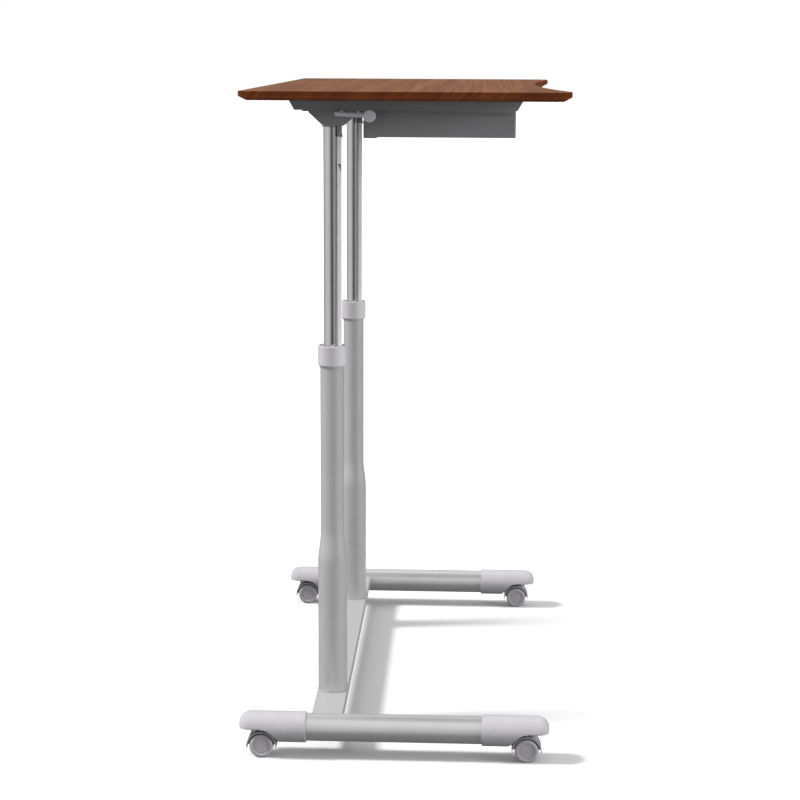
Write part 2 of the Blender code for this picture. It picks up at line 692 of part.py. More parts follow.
def caster_hood(name, frame):
    """The fork of a twin-wheel caster: a web between the wheels, a hood over them and a stem."""
    centre = (-WHEEL_TRAIL, WHEEL_R)
    rim = arc(centre, HOOD_R, -6, 186, 16)
    fender = rim + arc(centre, HOOD_BORE, 186, -6, 16)
    web = arc(centre, HOOD_R - 0.0010, 0, 180, 12) + arc(centre, 0.0085, 215, 325, 5)
    piece = extruded(name, fender, 2 * HOOD_HALF, ALONG_X, HOOD_PLASTIC)
    plate = extruded(name + "_web", web, WEB_THICK, ALONG_X, None)
    low, high = centre[1] + 0.0150, RECESS_TOP - 0.0005
    neck = rod(name + "_neck", NECK_R, high - low, (0.0, 0.0, (high + low) / 2), None)
    under = rod(name + "_neck_under", HOOD_BORE + 0.0004, 0.05, (0.0, *centre), None, TO_X, 48)
    combine(neck, under)
    stem_low = high - 0.0040
    stem = rod(name + "_stem", STEM_R, STEM_TOP - stem_low, (0.0, 0.0, (STEM_TOP + stem_low) / 2), None)
    hole = rod(name + "_axle_hole", AXLE_R + GAP, 0.05, (0.0, *centre), None, TO_X, 16)
    for part in (piece, plate, neck, under, stem, hole):
        part.parent = frame
    combine(piece, plate, "UNION")
    combine(piece, neck, "UNION")
    combine(piece, stem, "UNION")
    return combine(piece, hole)


def caster_axle(name, frame):
    """The pin through the web that both wheels turn on."""
    length = 2 * (WHEEL_INNER + WHEEL_WIDTH) - 0.0080
    piece = rod(name, AXLE_R, length, (0.0, -WHEEL_TRAIL, WHEEL_R), BRIGHT_STEEL, TO_X, 16)
    piece.parent = frame
    return piece


def caster_wheel(name, frame, direction):
    """One wheel, closed at its outer face, with a shallow dish; direction is +1 or -1 along X."""
    width, bore, blind = WHEEL_WIDTH, AXLE_R + GAP, WHEEL_WIDTH - 0.0036
    profile = [(0.0, width - 0.0010), (0.0120, width - 0.0014), (0.0132, width - 0.0004), (0.0190, width),
               (WHEEL_R, width - 0.0022), (WHEEL_R, 0.0016), (WHEEL_R - 0.0016, 0.0),
               (bore, 0.0), (bore, blind), (0.0, blind)]
    turn = TO_X if direction > 0 else TO_LEFT
    piece = turned(name, profile, WHEEL_PLASTIC, (direction * WHEEL_INNER, -WHEEL_TRAIL, WHEEL_R), turn,
                   WHEEL_STEPS)
    piece.parent = frame
    return piece


def foot_end(end, swivel_y, turn, side, sign):
    """A cap with its caster at one end of a foot; the frame's own +Y points outwards."""
    place_name = end + "_" + side
    spot = (sign * FOOT_X, swivel_y, 0.0)
    cap_frame = frame_at("cap_frame_" + place_name, spot, None, turn)
    swivel_frame = frame_at("swivel_frame_" + place_name, spot, None, turn)
    end_cap("end_cap_" + place_name, cap_frame)
    caster_hood("caster_hood_" + place_name, swivel_frame)
    caster_axle("caster_axle_" + place_name, swivel_frame)
    facing = 1 if turn == 0.0 else -1
    for direction in (-1, 1):
        where = "outer" if direction * facing == sign else "inner"
        caster_wheel("wheel_" + place_name + "_" + where, swivel_frame, direction)


# --- assembly -----------------------------------------------------------------------
def build_base():
    """Everything that stands on the floor and doesn't rise."""
    base_beam()
    for side, sign in SIDES:
        foot_tube(side, sign)
        outer_tube(side, sign)
        collar(side, sign)
        nut_post(side, sign)
        lead_nut(side, sign)
        foot_end("rear", SWIVEL_REAR, 0.0, side, sign)
        foot_end("front", SWIVEL_FRONT, math.pi, side, sign)


def build_lift():
    """The top and everything that rises with it, and the pieces that move on it."""
    lift = frame_at("lift_frame", (0.0, TUBE_Y, UNDERSIDE))
    hang(lift, table_top(), cross_channel())
    drive = frame_at("drive_frame", (0.0, SHAFT_Y, SHAFT_Z), lift)
    hang(drive, drive_shaft())
    for side, sign in SIDES:
        hang(lift, side_bracket(side, sign), leg_head(side, sign), inner_tube(side, sign))
        hang(lift, tube_bush(side, sign), guide_strip(side, sign), strip_bracket(side, sign))
        hang(lift, drawer_runner(side, sign))
        screw = frame_at("screw_frame_" + side, (sign * LEG_X, TUBE_Y, SHAFT_Z), lift)
        gear_spot = (sign * LEG_X, TUBE_Y, SHAFT_Z)
        hang(screw, lead_screw(side, sign),
             helical_gear("screw_gear_" + side, SCREW_GEAR_R, 0.0066, SCREW_R + GAP - 0.0001, 0.0090,
                          gear_spot, (0.0, 0.0, 0.0)))
        hang(drive, helical_gear("drive_gear_" + side, SHAFT_GEAR_R, 0.0082, SHAFT_R + GAP, 0.0090,
                                 (sign * LEG_X, SHAFT_Y, SHAFT_Z), TO_X))
    hang(frame_at("drawer_frame", (0.0, DRAWER_FRONT, DRAWER_LOW), lift), drawer())
    socket_frame = frame_at("crank_frame", (ARM_X, SHAFT_Y, SHAFT_Z), lift)
    hang(socket_frame, crank_socket())
    rod_frame = frame_at("crank_rod_frame", (ARM_X, SHAFT_Y, SHAFT_Z), socket_frame)
    hang(rod_frame, crank_arm(), knob_spindle())
    hang(frame_at("knob_frame", (KNOB_NEAR, KNOB_Y, KNOB_Z), rod_frame), crank_knob())


build_base()
build_lift()
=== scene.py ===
"""Looks for the hand-cranked desk on casters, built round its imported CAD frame.

Frame: metres, +Z up, origin on the floor. -Y is the user's side, -X the end with the crank.
"""
import math

import bmesh
import bpy
from mathutils import Matrix, Vector


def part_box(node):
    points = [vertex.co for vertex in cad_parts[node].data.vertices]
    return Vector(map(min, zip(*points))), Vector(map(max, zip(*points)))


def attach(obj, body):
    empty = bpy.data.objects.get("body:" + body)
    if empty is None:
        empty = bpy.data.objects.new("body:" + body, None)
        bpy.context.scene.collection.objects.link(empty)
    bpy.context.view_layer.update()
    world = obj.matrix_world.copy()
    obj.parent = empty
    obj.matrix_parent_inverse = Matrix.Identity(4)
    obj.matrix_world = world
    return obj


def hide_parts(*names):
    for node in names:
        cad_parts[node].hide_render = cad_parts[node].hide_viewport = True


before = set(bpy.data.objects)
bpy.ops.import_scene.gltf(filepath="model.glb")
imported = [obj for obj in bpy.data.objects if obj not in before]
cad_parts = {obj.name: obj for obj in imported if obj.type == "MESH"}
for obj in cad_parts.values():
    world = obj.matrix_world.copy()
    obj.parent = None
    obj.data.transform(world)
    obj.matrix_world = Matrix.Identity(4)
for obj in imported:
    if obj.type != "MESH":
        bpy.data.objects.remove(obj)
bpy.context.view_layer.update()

SIDES = (("left", -1), ("right", 1))
MM = 0.001


# --- node materials -----------------------------------------------------------------
class Graph:
    """Short names for the nodes of one node tree."""

    def __init__(self, tree):
        self.tree = tree

    def set(self, node, socket, value):
        if isinstance(value, bpy.types.NodeSocket):
            self.tree.links.new(value, node.inputs[socket])
        else:
            node.inputs[socket].default_value = value

    def node(self, kind, result=0, options=(), **inputs):
        node = self.tree.nodes.new("ShaderNode" + kind)
        for key, value in dict(options).items():
            setattr(node, key, value)
        for key, value in inputs.items():
            self.set(node, int(key[1:]) if key[1:].isdigit() else key.replace("_", " "), value)
        return node.outputs[result]

    def fit(self, value, low, high, to_low=0.0, to_high=1.0):
        return self.node("MapRange", _0=value, _1=low, _2=high, _3=to_low, _4=to_high)

    def math(self, operation, a, b):
        return self.node("Math", options={"operation": operation}, _0=a, _1=b)

    def mix(self, share, a, b, blend="MIX"):
        return self.node("Mix", result=2, options={"data_type": "RGBA", "blend_type": blend},
                         _0=share, _6=a, _7=b)

    def ramp(self, value, stops, interpolation="LINEAR"):
        """A colour for each value, from (position, colour) stops."""
        node = self.tree.nodes.new("ShaderNodeValToRGB")
        node.color_ramp.interpolation = interpolation
        marks = node.color_ramp.elements
        marks.remove(marks[1])
        for i, (position, colour) in enumerate(stops):
            mark = marks[0] if i == 0 else marks.new(position)
            mark.position, mark.color = position, (*colour, 1.0)
        self.tree.links.new(value, node.inputs["Fac"])
        return node.outputs["Color"]


class Shade(Graph):
    """A node material: one Principled shader and the textures that feed it."""

    def __init__(self, name, colour, roughness, metallic=0.0, **sockets):
        self.material = bpy.data.materials.new(name)
        self.material.use_nodes = True
        super().__init__(self.material.node_tree)
        self.shader = self.tree.nodes["Principled BSDF"]
        self.colour = (*colour, 1.0)
        self.set(self.shader, "Base Color", self.colour)
        self.set(self.shader, "Roughness", roughness)
        self.set(self.shader, "Metallic", metallic)
        for socket, value in sockets.items():
            self.set(self.shader, socket.replace("_", " "), value)
        self.place = self.tree.nodes.new("ShaderNodeTexCoord").outputs["Object"]

    def stretched(self, scale):
        return self.node("Mapping", Vector=self.place, Scale=scale)

    def noise(self, size, detail=3.0, rough=0.55, where=None):
        """Noise with features about size metres across, about 0.5 in the middle."""
        return self.node("TexNoise", Vector=where or self.place, Scale=1.0 / size, Detail=detail,
                         Roughness=rough)

    def tint(self, factor):
        """The base colour times a value that varies over the surface."""
        self.paint(self.mix(1.0, self.colour, factor, "MULTIPLY"))

    def paint(self, colour):
        self.set(self.shader, "Base Color", colour)

    def rough(self, value):
        self.set(self.shader, "Roughness", value)

    def bump(self, height, depth, strength):
        self.set(self.shader, "Normal", self.node("Bump", Height=height, Distance=depth, Strength=strength))


def wood(name, deep, middle, pale, roughness, shine):
    """Wood-grain laminate: streaks run along X and slant over the edges."""
    s = Shade(name, middle, roughness, Specular_IOR_Level=shine)
    x, y, z = (s.node("SeparateXYZ", result=i, Vector=s.place) for i in range(3))
    across = s.math("ADD", y, s.math("MULTIPLY", z, 0.85))
    wave = s.noise(0.45, 2.0, where=s.node("CombineXYZ", X=x, Y=y, Z=0.0))
    across = s.math("ADD", across, s.math("MULTIPLY", wave, 0.020))

    def grain(length, width, detail):
        where = s.node("CombineXYZ", X=s.math("MULTIPLY", x, width / length), Y=across, Z=0.0)
        return s.noise(width, detail, 0.6, where)

    broad = s.fit(grain(1.6, 0.042, 2.0), 0.32, 0.68)
    streak = s.fit(grain(1.1, 0.0060, 3.0), 0.30, 0.70)
    fine = s.fit(grain(0.45, 0.0015, 2.0), 0.30, 0.70)
    pores = s.fit(grain(0.018, 0.00055, 1.0), 0.60, 0.70)
    tone = s.math("ADD", s.math("MULTIPLY", broad, 0.20), s.math("MULTIPLY", streak, 0.42))
    tone = s.math("ADD", tone, s.math("MULTIPLY", fine, 0.38))
    colour = s.ramp(tone, [(0.18, deep), (0.50, middle), (0.82, pale)])
    s.paint(s.mix(s.math("MULTIPLY", pores, 0.45), colour, (*deep, 1.0)))
    s.rough(s.fit(fine, 0.0, 1.0, roughness - 0.05, roughness + 0.06))
    s.bump(s.math("SUBTRACT", fine, pores), 0.00006, 0.6)
    return s.material


def flaked(name, colour, roughness, metallic):
    """Silver paint: fine flakes over a slight orange peel."""
    s = Shade(name, colour, roughness, metallic)
    flake = s.node("TexVoronoi", result="Color", Vector=s.place, Scale=2600.0)
    flake = s.node("SeparateColor", Color=flake)
    cloud = s.noise(0.060, 3.0)
    s.tint(s.math("MULTIPLY", s.fit(flake, 0.0, 1.0, 0.91, 1.07), s.fit(cloud, 0.3, 0.7, 0.975, 1.02)))
    s.rough(s.fit(s.noise(0.011, 4.0), 0.3, 0.7, roughness - 0.04, roughness + 0.05))
    s.bump(s.noise(0.0032, 1.0), 0.00005, 0.35)
    return s.material


def coated(name, colour, roughness, grain, depth, **sockets):
    """Powder coat or etched moulded plastic: an even fine texture with faint mottling."""
    s = Shade(name, colour, roughness, **sockets)
    texture = s.noise(grain, 2.0, 0.6)
    mottle = s.noise(0.0075, 4.0, 0.65)
    cloud = s.noise(0.045, 2.0)
    shade = s.math("MULTIPLY", s.fit(mottle, 0.3, 0.7, 0.965, 1.03), s.fit(cloud, 0.3, 0.7, 0.97, 1.02))
    s.tint(s.math("MULTIPLY", shade, s.fit(texture, 0.25, 0.75, 0.94, 1.05)))
    s.rough(s.fit(mottle, 0.3, 0.7, roughness - 0.05, roughness + 0.07))
    s.bump(texture, depth, 0.55)
    return s.material


def plated(name, colour, roughness):
    """Polished plated tube: near-mirror, with faint draw lines along Z and a light haze."""
    s = Shade(name, colour, roughness, 1.0)
    lines = s.noise(0.0012, 3.0, 0.6, s.stretched((1.0, 1.0, 0.012)))
    haze = s.noise(0.030, 4.0, 0.7)
    s.tint(s.fit(haze, 0.3, 0.7, 0.95, 1.03))
    both = s.math("ADD", s.math("MULTIPLY", lines, 0.45), s.math("MULTIPLY", haze, 0.55))
    s.rough(s.fit(both, 0.3, 0.7, roughness * 0.6, roughness * 1.6))
    s.bump(lines, 0.000012, 0.30)
    return s.material


def machined(name, colour, roughness, axis):
    """Turned metal: fine rings across its axis, 0 for X and 2 for Z."""
    s = Shade(name, colour, roughness, 1.0)
    stretch = [0.05, 0.05, 0.05]
    stretch[axis] = 1.0
    rings = s.noise(0.0007, 2.0, 0.7, s.stretched(stretch))
    stain = s.noise(0.009, 4.0, 0.7)
    s.tint(s.math("MULTIPLY", s.fit(rings, 0.3, 0.7, 0.82, 1.06), s.fit(stain, 0.3, 0.7, 0.90, 1.04)))
    s.rough(s.fit(rings, 0.3, 0.7, roughness - 0.07, roughness + 0.12))
    s.bump(rings, 0.00003, 0.4)
    return s.material


# dark, middle and light streak, then roughness and specular level
WOOD = wood("brown_laminate", (0.080, 0.0260, 0.0080), (0.143, 0.051, 0.0170), (0.232, 0.092, 0.034),
            0.50, 0.26)
# the edge band's laminate is a darker copy of the top's wood: painted shade on the upright edge
WOOD_EDGE_PAINTED_SHADE = wood("brown_laminate_edge_painted_shade", (0.070, 0.0155, 0.0040), (0.112, 0.0270, 0.0075),
                 (0.165, 0.044, 0.013), 0.52, 0.12)
# the underside bevel's laminate is a lighter copy of the top's wood: painted light, as if bounced up from the
# floor
WOOD_BEVEL_PAINTED_LIGHT = wood("brown_laminate_bevel_painted_light", (0.270, 0.0650, 0.0150), (0.405, 0.104, 0.0230),
                  (0.540, 0.150, 0.037), 0.54, 0.10)
BACKING = coated("backing_sheet", (0.090, 0.086, 0.082), 0.55, 0.00080, 0.00003)
SILVER = flaked("silver_paint", (0.530, 0.530, 0.532), 0.36, 0.40)
# the foot tubes take a brighter copy of the silver paint: painted light on their lit tops
FOOT_SILVER_PAINTED_LIGHT = flaked("silver_paint_foot_painted_light", (0.760, 0.760, 0.763), 0.33, 0.74)
GREY = coated("grey_powder_coat", (0.272, 0.267, 0.277), 0.50, 0.00062, 0.00007, Specular_IOR_Level=0.45)
CRANK = flaked("crank_paint", (0.800, 0.790, 0.812), 0.38, 0.05)
CHROME = plated("chrome_plate", (0.790, 0.775, 0.800), 0.032)
PALE = coated("pale_plastic", (0.412, 0.403, 0.424), 0.42, 0.00070, 0.00004)
# the collars take a lighter copy of the foot caps' pale plastic: painted light
COLLAR = coated("collar_plastic_painted_light", (0.510, 0.500, 0.520), 0.42, 0.00070, 0.00004)
STRIP = coated("strip_plastic", (0.930, 0.918, 0.940), 0.46, 0.00060, 0.00003)
WHEEL = coated("wheel_plastic", (0.400, 0.388, 0.412), 0.46, 0.00075, 0.00005)
HOOD = coated("hood_plastic", (0.330, 0.322, 0.346), 0.45, 0.00065, 0.00005)
KNOB = coated("knob_plastic", (0.740, 0.725, 0.765), 0.44, 0.00060, 0.00005)
NUT = coated("nut_plastic", (0.700, 0.680, 0.600), 0.38, 0.00090, 0.00003)
INK = coated("mark_ink", (0.120, 0.118, 0.124), 0.55, 0.00050, 0.00001)
ZINC = machined("zinc_screw", (0.480, 0.480, 0.490), 0.34, 2)
STEEL_X = machined("bright_steel_across", (0.560, 0.560, 0.575), 0.28, 0)
STEEL_Z = machined("bright_steel_upright", (0.560, 0.560, 0.575), 0.28, 2)
BRASS = machined("gear_brass", (0.600, 0.440, 0.190), 0.34, 0)


# --- outlines and bodies ------------------------------------------------------------
def eased(corners, closed=True, step=15.0):
    """Points round an outline whose (x, y, radius) corners are rounded."""
    points, count = [], len(corners)
    for i, (x, y, radius) in enumerate(corners):
        if radius <= 0.0 or (not closed and i in (0, count - 1)):
            points.append((x, y))
            continue
        spot = Vector((x, y))
        back = Vector(corners[i - 1][:2]) - spot
        ahead = Vector(corners[(i + 1) % count][:2]) - spot
        half = back.angle(ahead) / 2
        reach = min(radius / math.tan(half), 0.49 * back.length, 0.49 * ahead.length)
        radius = reach * math.tan(half)
        back.normalize()
        ahead.normalize()
        centre = spot + (back + ahead).normalized() * radius / math.sin(half)
        start, end = spot + back * reach - centre, spot + ahead * reach - centre
        sweep = math.atan2(start.x * end.y - start.y * end.x, start.dot(end))
        first = math.atan2(start.y, start.x)
        steps = max(2, math.ceil(abs(math.degrees(sweep)) / step))
        for k in range(steps + 1):
            angle = first + sweep * k / steps
            points.append((centre.x + radius * math.cos(angle), centre.y + radius * math.sin(angle)))
    return points


def loft(rings):
    """A body through rings of equal length, with a face over each end."""
    bm = bmesh.new()
    layers = [[bm.verts.new(point) for point in ring] for ring in rings]
    count = len(rings[0])
    for lower, upper in zip(layers, layers[1:]):
        for i in range(count):
            j = (i + 1) % count
            bm.faces.new((lower[i], lower[j], upper[j], upper[i]))
    bm.faces.new(list(reversed(layers[0])))
    bm.faces.new(layers[-1])
    bmesh.ops.recalc_face_normals(bm, faces=bm.faces)
    return bm


TO_X = Matrix.Rotation(math.pi / 2, 4, "Y")
TO_LEFT = Matrix.Rotation(-math.pi / 2, 4, "Y")
TO_Y = Matrix.Rotation(-math.pi / 2, 4, "X")
TO_DOWN = Matrix.Rotation(math.pi, 4, "X")
OUTLINE_YZ = Matrix(((0, 0, 1, 0), (1, 0, 0, 0), (0, 1, 0, 0), (0, 0, 0, 1)))
OUTLINE_XZ = Matrix(((1, 0, 0, 0), (0, 0, -1, 0), (0, 1, 0, 0), (0, 0, 0, 1)))


def at(x, y, z, turn=None):
    """A placing matrix: a turn, then a move."""
    move = Matrix.Translation((x, y, z))
    return move if turn is None else move @ turn


def turned(profile, matrix, steps=96):
    """A turned body from (radius, height, rounding) corners, from axis to axis or as a closed ring."""
    is_ring = profile[0][0] > 0.0
    line = eased(profile, closed=is_ring)
    bm = bmesh.new()
    layers = []
    for radius, height in line:
        if radius <= 1e-9:
            layers.append([bm.verts.new((0.0, 0.0, height))])
            continue
        ring = []
        for i in range(steps):
            angle = 2 * math.pi * i / steps
            ring.append(bm.verts.new((radius * math.cos(angle), radius * math.sin(angle), height)))
        layers.append(ring)
    pairs = list(zip(layers, layers[1:])) + ([(layers[-1], layers[0])] if is_ring else [])
    for a, b in pairs:
        for i in range(steps):
            j = (i + 1) % steps
            if len(a) == 1:
                bm.faces.new((a[0], b[j], b[i]))
            elif len(b) == 1:
                bm.faces.new((a[i], a[j], b[0]))
            else:
                bm.faces.new((a[i], a[j], b[j], b[i]))
    bmesh.ops.recalc_face_normals(bm, faces=bm.faces)
    bm.transform(matrix)
    return bm


def prism(corners, length, lie, matrix=Matrix.Identity(4)):
    """An outline of (x, y, rounding) corners with a length, laid along X or Y."""
    line = eased(corners)
    rings = [[(x, y, z) for x, y in line] for z in (-length / 2, length / 2)]
    bm = loft(rings)
    bm.transform(matrix @ lie)
    bmesh.ops.recalc_face_normals(bm, faces=bm.faces)
    return bm


def pipe(radius, bore, high, low, *rounding):
    """The profile of a tube, with the rounding of its four edges."""
    spots = ((radius, high), (radius, low), (bore, low), (bore, high))
    return [(*spot, r * MM) for spot, r in zip(spots, rounding)]


def channel(half, wall, low, high, rim, inner, outer):
    """The section of a channel open below, with the rounding of its edges."""
    spots = ((half, low, rim), (half - wall, low, rim), (half - wall, high - wall, inner))
    left = [(-y, z, r * MM) for y, z, r in spots]
    right = [(y, z, r * MM) for y, z, r in reversed(spots)]
    return left + right + [(half, high, outer * MM), (-half, high, outer * MM)]


def drill(radius, length, matrix, steps=96):
    """A round cutter, centred on its own origin."""
    half = length / 2
    return turned([(0.0, -half, 0), (radius, -half, 0), (radius, half, 0), (0.0, half, 0)], matrix, steps)


def block(low, high):
    """A body between two corners."""
    low, high = Vector(low), Vector(high)
    bm = bmesh.new()
    bmesh.ops.create_cube(bm, size=1.0)
    bmesh.ops.scale(bm, vec=high - low, verts=bm.verts)
    bmesh.ops.translate(bm, vec=(low + high) / 2, verts=bm.verts)
    return bm


def swept(path, radius, steps):
    """A round bar along a run of points, with its ends drawn in a little."""
    spots = [Vector(p) for p in path]
    heading = (spots[1] - spots[0]).normalized()
    side = heading.orthogonal().normalized()
    rings = []
    for i, spot in enumerate(spots):
        ahead = (spots[min(i + 1, len(spots) - 1)] - spots[max(i - 1, 0)]).normalized()
        side = (side - ahead * side.dot(ahead)).normalized()
        other = ahead.cross(side)
        rings.append([spot + (side * math.cos(a) + other * math.sin(a)) * radius
                      for a in (2 * math.pi * k / steps for k in range(steps))])
    ends = []
    for ring, spot, nearby in ((rings[0], spots[0], spots[1]), (rings[-1], spots[-1], spots[-2])):
        out = (spot - nearby).normalized() * radius * 0.22
        ends.append([spot + (p - spot) * 0.80 + out for p in ring])
    return loft([ends[0]] + rings + [ends[1]])


def merged(*bodies):
    """Several bodies in one mesh."""
    whole = bmesh.new()
    for body in bodies:
        spare = bpy.data.meshes.new("spare")
        body.to_mesh(spare)
        body.free()
        whole.from_mesh(spare)
        bpy.data.meshes.remove(spare)
    return whole


def bent(corners, radius, step=9.0):
    """A run of 3-D points with its inner corners rounded."""
    points = [Vector(corners[0])]
    for before, corner, after in zip(corners, corners[1:], corners[2:]):
        corner = Vector(corner)
        back, ahead = (Vector(before) - corner).normalized(), (Vector(after) - corner).normalized()
        half = back.angle(ahead) / 2
        start, end = corner + back * radius / math.tan(half), corner + ahead * radius / math.tan(half)
        centre = corner + (back + ahead).normalized() * radius / math.sin(half)
        steps = math.ceil(math.degrees(math.pi - 2 * half) / step)
        axis = (start - centre).cross(end - centre).normalized()
        for k in range(steps + 1):
            turn = Matrix.Rotation((math.pi - 2 * half) * k / steps, 3, axis)
            points.append(centre + turn @ (start - centre))
    return points + [Vector(corners[-1])]


def baked(obj):
    """Applies an object's modifiers to its mesh."""
    graph = bpy.context.evaluated_depsgraph_get()
    mesh = bpy.data.meshes.new_from_object(obj.evaluated_get(graph), preserve_all_data_layers=True,
                                           depsgraph=graph)
    obj.modifiers.clear()
    old, obj.data = obj.data, mesh
    bpy.data.meshes.remove(old)
    mesh.name = obj.name


def piece(name, bm, material, body, nodes=(), bevel=0.0, cuts=(), joins=(), smooth=36.0, segments=3,
          tangled=False):
    """A finished piece: cut, joined, bevelled, smoothed, riding on its body."""
    mesh = bpy.data.meshes.new(name)
    bm.to_mesh(mesh)
    bm.free()
    obj = bpy.data.objects.new(name, mesh)
    bpy.context.scene.collection.objects.link(obj)
    materials = material if isinstance(material, (list, tuple)) else [material]
    for each in materials:
        mesh.materials.append(each)
    tools = []
    for operation, bodies in (("UNION", joins), ("DIFFERENCE", cuts)):
        for tool in bodies:
            spare = bpy.data.meshes.new("tool")
            tool.to_mesh(spare)
            tool.free()
            cutter = bpy.data.objects.new("tool", spare)
            bpy.context.scene.collection.objects.link(cutter)
            tools.append(cutter)
            boolean = obj.modifiers.new("tool", "BOOLEAN")
            boolean.operation, boolean.object, boolean.solver = operation, cutter, "EXACT"
            boolean.use_self = tangled
    if bevel:
        edge = obj.modifiers.new("edge", "BEVEL")
        edge.width, edge.segments = bevel, segments
        edge.limit_method, edge.angle_limit = "ANGLE", math.radians(32)
        edge.miter_outer = "MITER_ARC"
    if obj.modifiers:
        baked(obj)
    for tool in tools:
        spare = tool.data
        bpy.data.objects.remove(tool)
        bpy.data.meshes.remove(spare)
    obj.data.shade_smooth()
    obj.data.set_sharp_from_angle(angle=math.radians(smooth))
    even = obj.modifiers.new("even", "WEIGHTED_NORMAL")
    even.keep_sharp, even.weight = True, 60
    baked(obj)
    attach(obj, body)
    if nodes:
        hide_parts(*nodes)
    return obj


def carved(body, tool):
    """One body cut by another, as a mesh to build on."""
    objects = []
    for bm in (body, tool):
        mesh = bpy.data.meshes.new("carving")
        bm.to_mesh(mesh)
        bm.free()
        objects.append(bpy.data.objects.new("carving", mesh))
        bpy.context.scene.collection.objects.link(objects[-1])
    boolean = objects[0].modifiers.new("cut", "BOOLEAN")
    boolean.object, boolean.solver = objects[1], "EXACT"
    baked(objects[0])
    result = bmesh.new()
    result.from_mesh(objects[0].data)
    for obj in objects:
        mesh = obj.data
        bpy.data.objects.remove(obj)
        bpy.data.meshes.remove(mesh)
    return result


def middle(node):
    """The middle of a CAD node's box."""
    low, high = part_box(node)
    return (low + high) / 2


def screw_head(radius, height, matrix):
    """A low domed head with a six-sided socket."""
    steps = 36
    rings = []
    for share in range(7):
        angle = math.radians(90 * share / 6)
        reach = radius * (0.46 + 0.54 * math.cos(angle))
        rings.append([(reach, height * (0.22 + 0.78 * math.sin(angle)), False)] * steps)
    rings.insert(0, [(radius, 0.0, False)] * steps)
    rings.append([(radius * 0.40, height, True)] * steps)
    rings.append([(radius * 0.38, height * 0.35, True)] * steps)
    points = []
    for ring in rings:
        row = []
        for i, (reach, z, is_hex) in enumerate(ring):
            angle = 2 * math.pi * i / steps
            if is_hex:
                part = (angle % (math.pi / 3)) - math.pi / 6
                reach *= math.cos(math.pi / 6) / math.cos(part) * 1.08
            row.append((reach * math.cos(angle), reach * math.sin(angle), z))
        points.append(row)
    bm = loft(points)
    bm.transform(matrix)
    return bm


# --- work top -----------------------------------------------------------------------
TOP_EDGE = 8.5 * MM            # upright part of the edge
TOP_BEVEL_IN = 13.7 * MM
REAR_CORNER, FRONT_CORNER = 8.0 * MM, 28.0 * MM
NOTCH_HALF, NOTCH_DEPTH = 0.540, 0.044
TOP_FACE, EDGE_FACE, BEVEL_FACE, UNDER_FACE = range(4)   # places in the work top's materials


def top_ring(inset, height):
    """Plan outline of the top at one height, drawn in by inset."""
    low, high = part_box("table_top")
    half, rear, tip = high.x - inset, high.y - inset, low.y + inset
    rear_r, front_r = max(REAR_CORNER - inset, MM), max(FRONT_CORNER - inset, MM)
    radius = (NOTCH_HALF ** 2 + NOTCH_DEPTH ** 2) / (2 * NOTCH_DEPTH)
    centre_y = low.y + NOTCH_DEPTH - radius
    spread = math.acos((tip - centre_y) / (radius + inset))
    line = []

    def sweep(x, y, r, start, end, steps):
        for i in range(steps + 1):
            angle = math.radians(start + (end - start) * i / steps)
            line.append((x + r * math.cos(angle), y + r * math.sin(angle), height))

    sweep(half - front_r, tip + front_r, front_r, -90, 0, 16)
    sweep(half - rear_r, rear - rear_r, rear_r, 0, 90, 10)
    sweep(rear_r - half, rear - rear_r, rear_r, 90, 180, 10)
    sweep(front_r - half, tip + front_r, front_r, 180, 270, 16)
    spread = math.degrees(spread)
    sweep(0.0, centre_y, radius + inset, 90 + spread, 90 - spread, 96)
    return line


def work_top():
    low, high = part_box("table_top")
    section = eased([(TOP_BEVEL_IN, low.z, 0.0), (0.0, high.z - TOP_EDGE, 0.6 * MM),
                     (0.0, high.z, 0.9 * MM), (TOP_BEVEL_IN, high.z, 0.0)], closed=False, step=22)
    section = section[:-1]                 # the upper face is one flat cap over the last ring
    bm = loft([top_ring(inset, height) for inset, height in section])
    for face in bm.faces:
        face.normal_update()
        if face.normal.z > 0.85:
            face.material_index = TOP_FACE
        elif face.normal.z < -0.95:
            face.material_index = UNDER_FACE
        elif face.normal.z < -0.30:
            face.material_index = BEVEL_FACE
        else:
            face.material_index = EDGE_FACE
    # edge faces take the painted-shade copy of the wood, bevel faces the painted-light copy
    piece("work_top", bm, [WOOD, WOOD_EDGE_PAINTED_SHADE, WOOD_BEVEL_PAINTED_LIGHT, BACKING], "lift", ["table_top"],
          smooth=42)


# --- steelwork under the top --------------------------------------------------------
BRACKET_WALL = 2.5 * MM
BRACKET_SLOPE_REAR, BRACKET_SLOPE_FRONT = 13.5 * MM, 14.4 * MM
BRACKET_SCREWS_Y = (-0.190, -0.080, 0.030, 0.195)
NOTCH_LEFT, NOTCH_RIGHT = (-0.3400, -0.2700), (0.2700, 0.3000)   # where the shaft's cutter starts and ends
SHAFT_NOTCH_R = 7.1 * MM
CHANNEL_WALL = 2.2 * MM
HEAD_RIM, HEAD_WALL, HEAD_SLOPE = 2.0 * MM, 2.5 * MM, 24.1 * MM
HEAD_FOOT_Y = (0.1102, 0.1487)         # flat under the head
HEAD_SHOULDER_Y = (0.0839, 0.1750)     # top of its slopes
HEAD_NECK_Y = (0.0833, 0.1756)         # under its rim
HEAD_INNER_FOOT_Y, HEAD_INNER_TOP_Y = (0.1112, 0.1477), (0.0759, 0.1830)
FERRULE_BORE, FERRULE_R, FERRULE_HIGH = 0.0132, 0.0150, 2.2 * MM
RUNNER_FOOT_X, RUNNER_WEB_X, RUNNER_FLANGE_X, RUNNER_SCREW_X = 0.2460, 0.2520, 0.2700, 0.2632
RUNNER_SCREWS_Y = (-0.170, -0.055, 0.060)
DRAWER_HALF, DRAWER_LIP_IN, DRAWER_LIP_OUT = 0.2450, 0.2440, 0.2515
FINGER_HALF, FINGER_DEEP = 0.060, 16 * MM


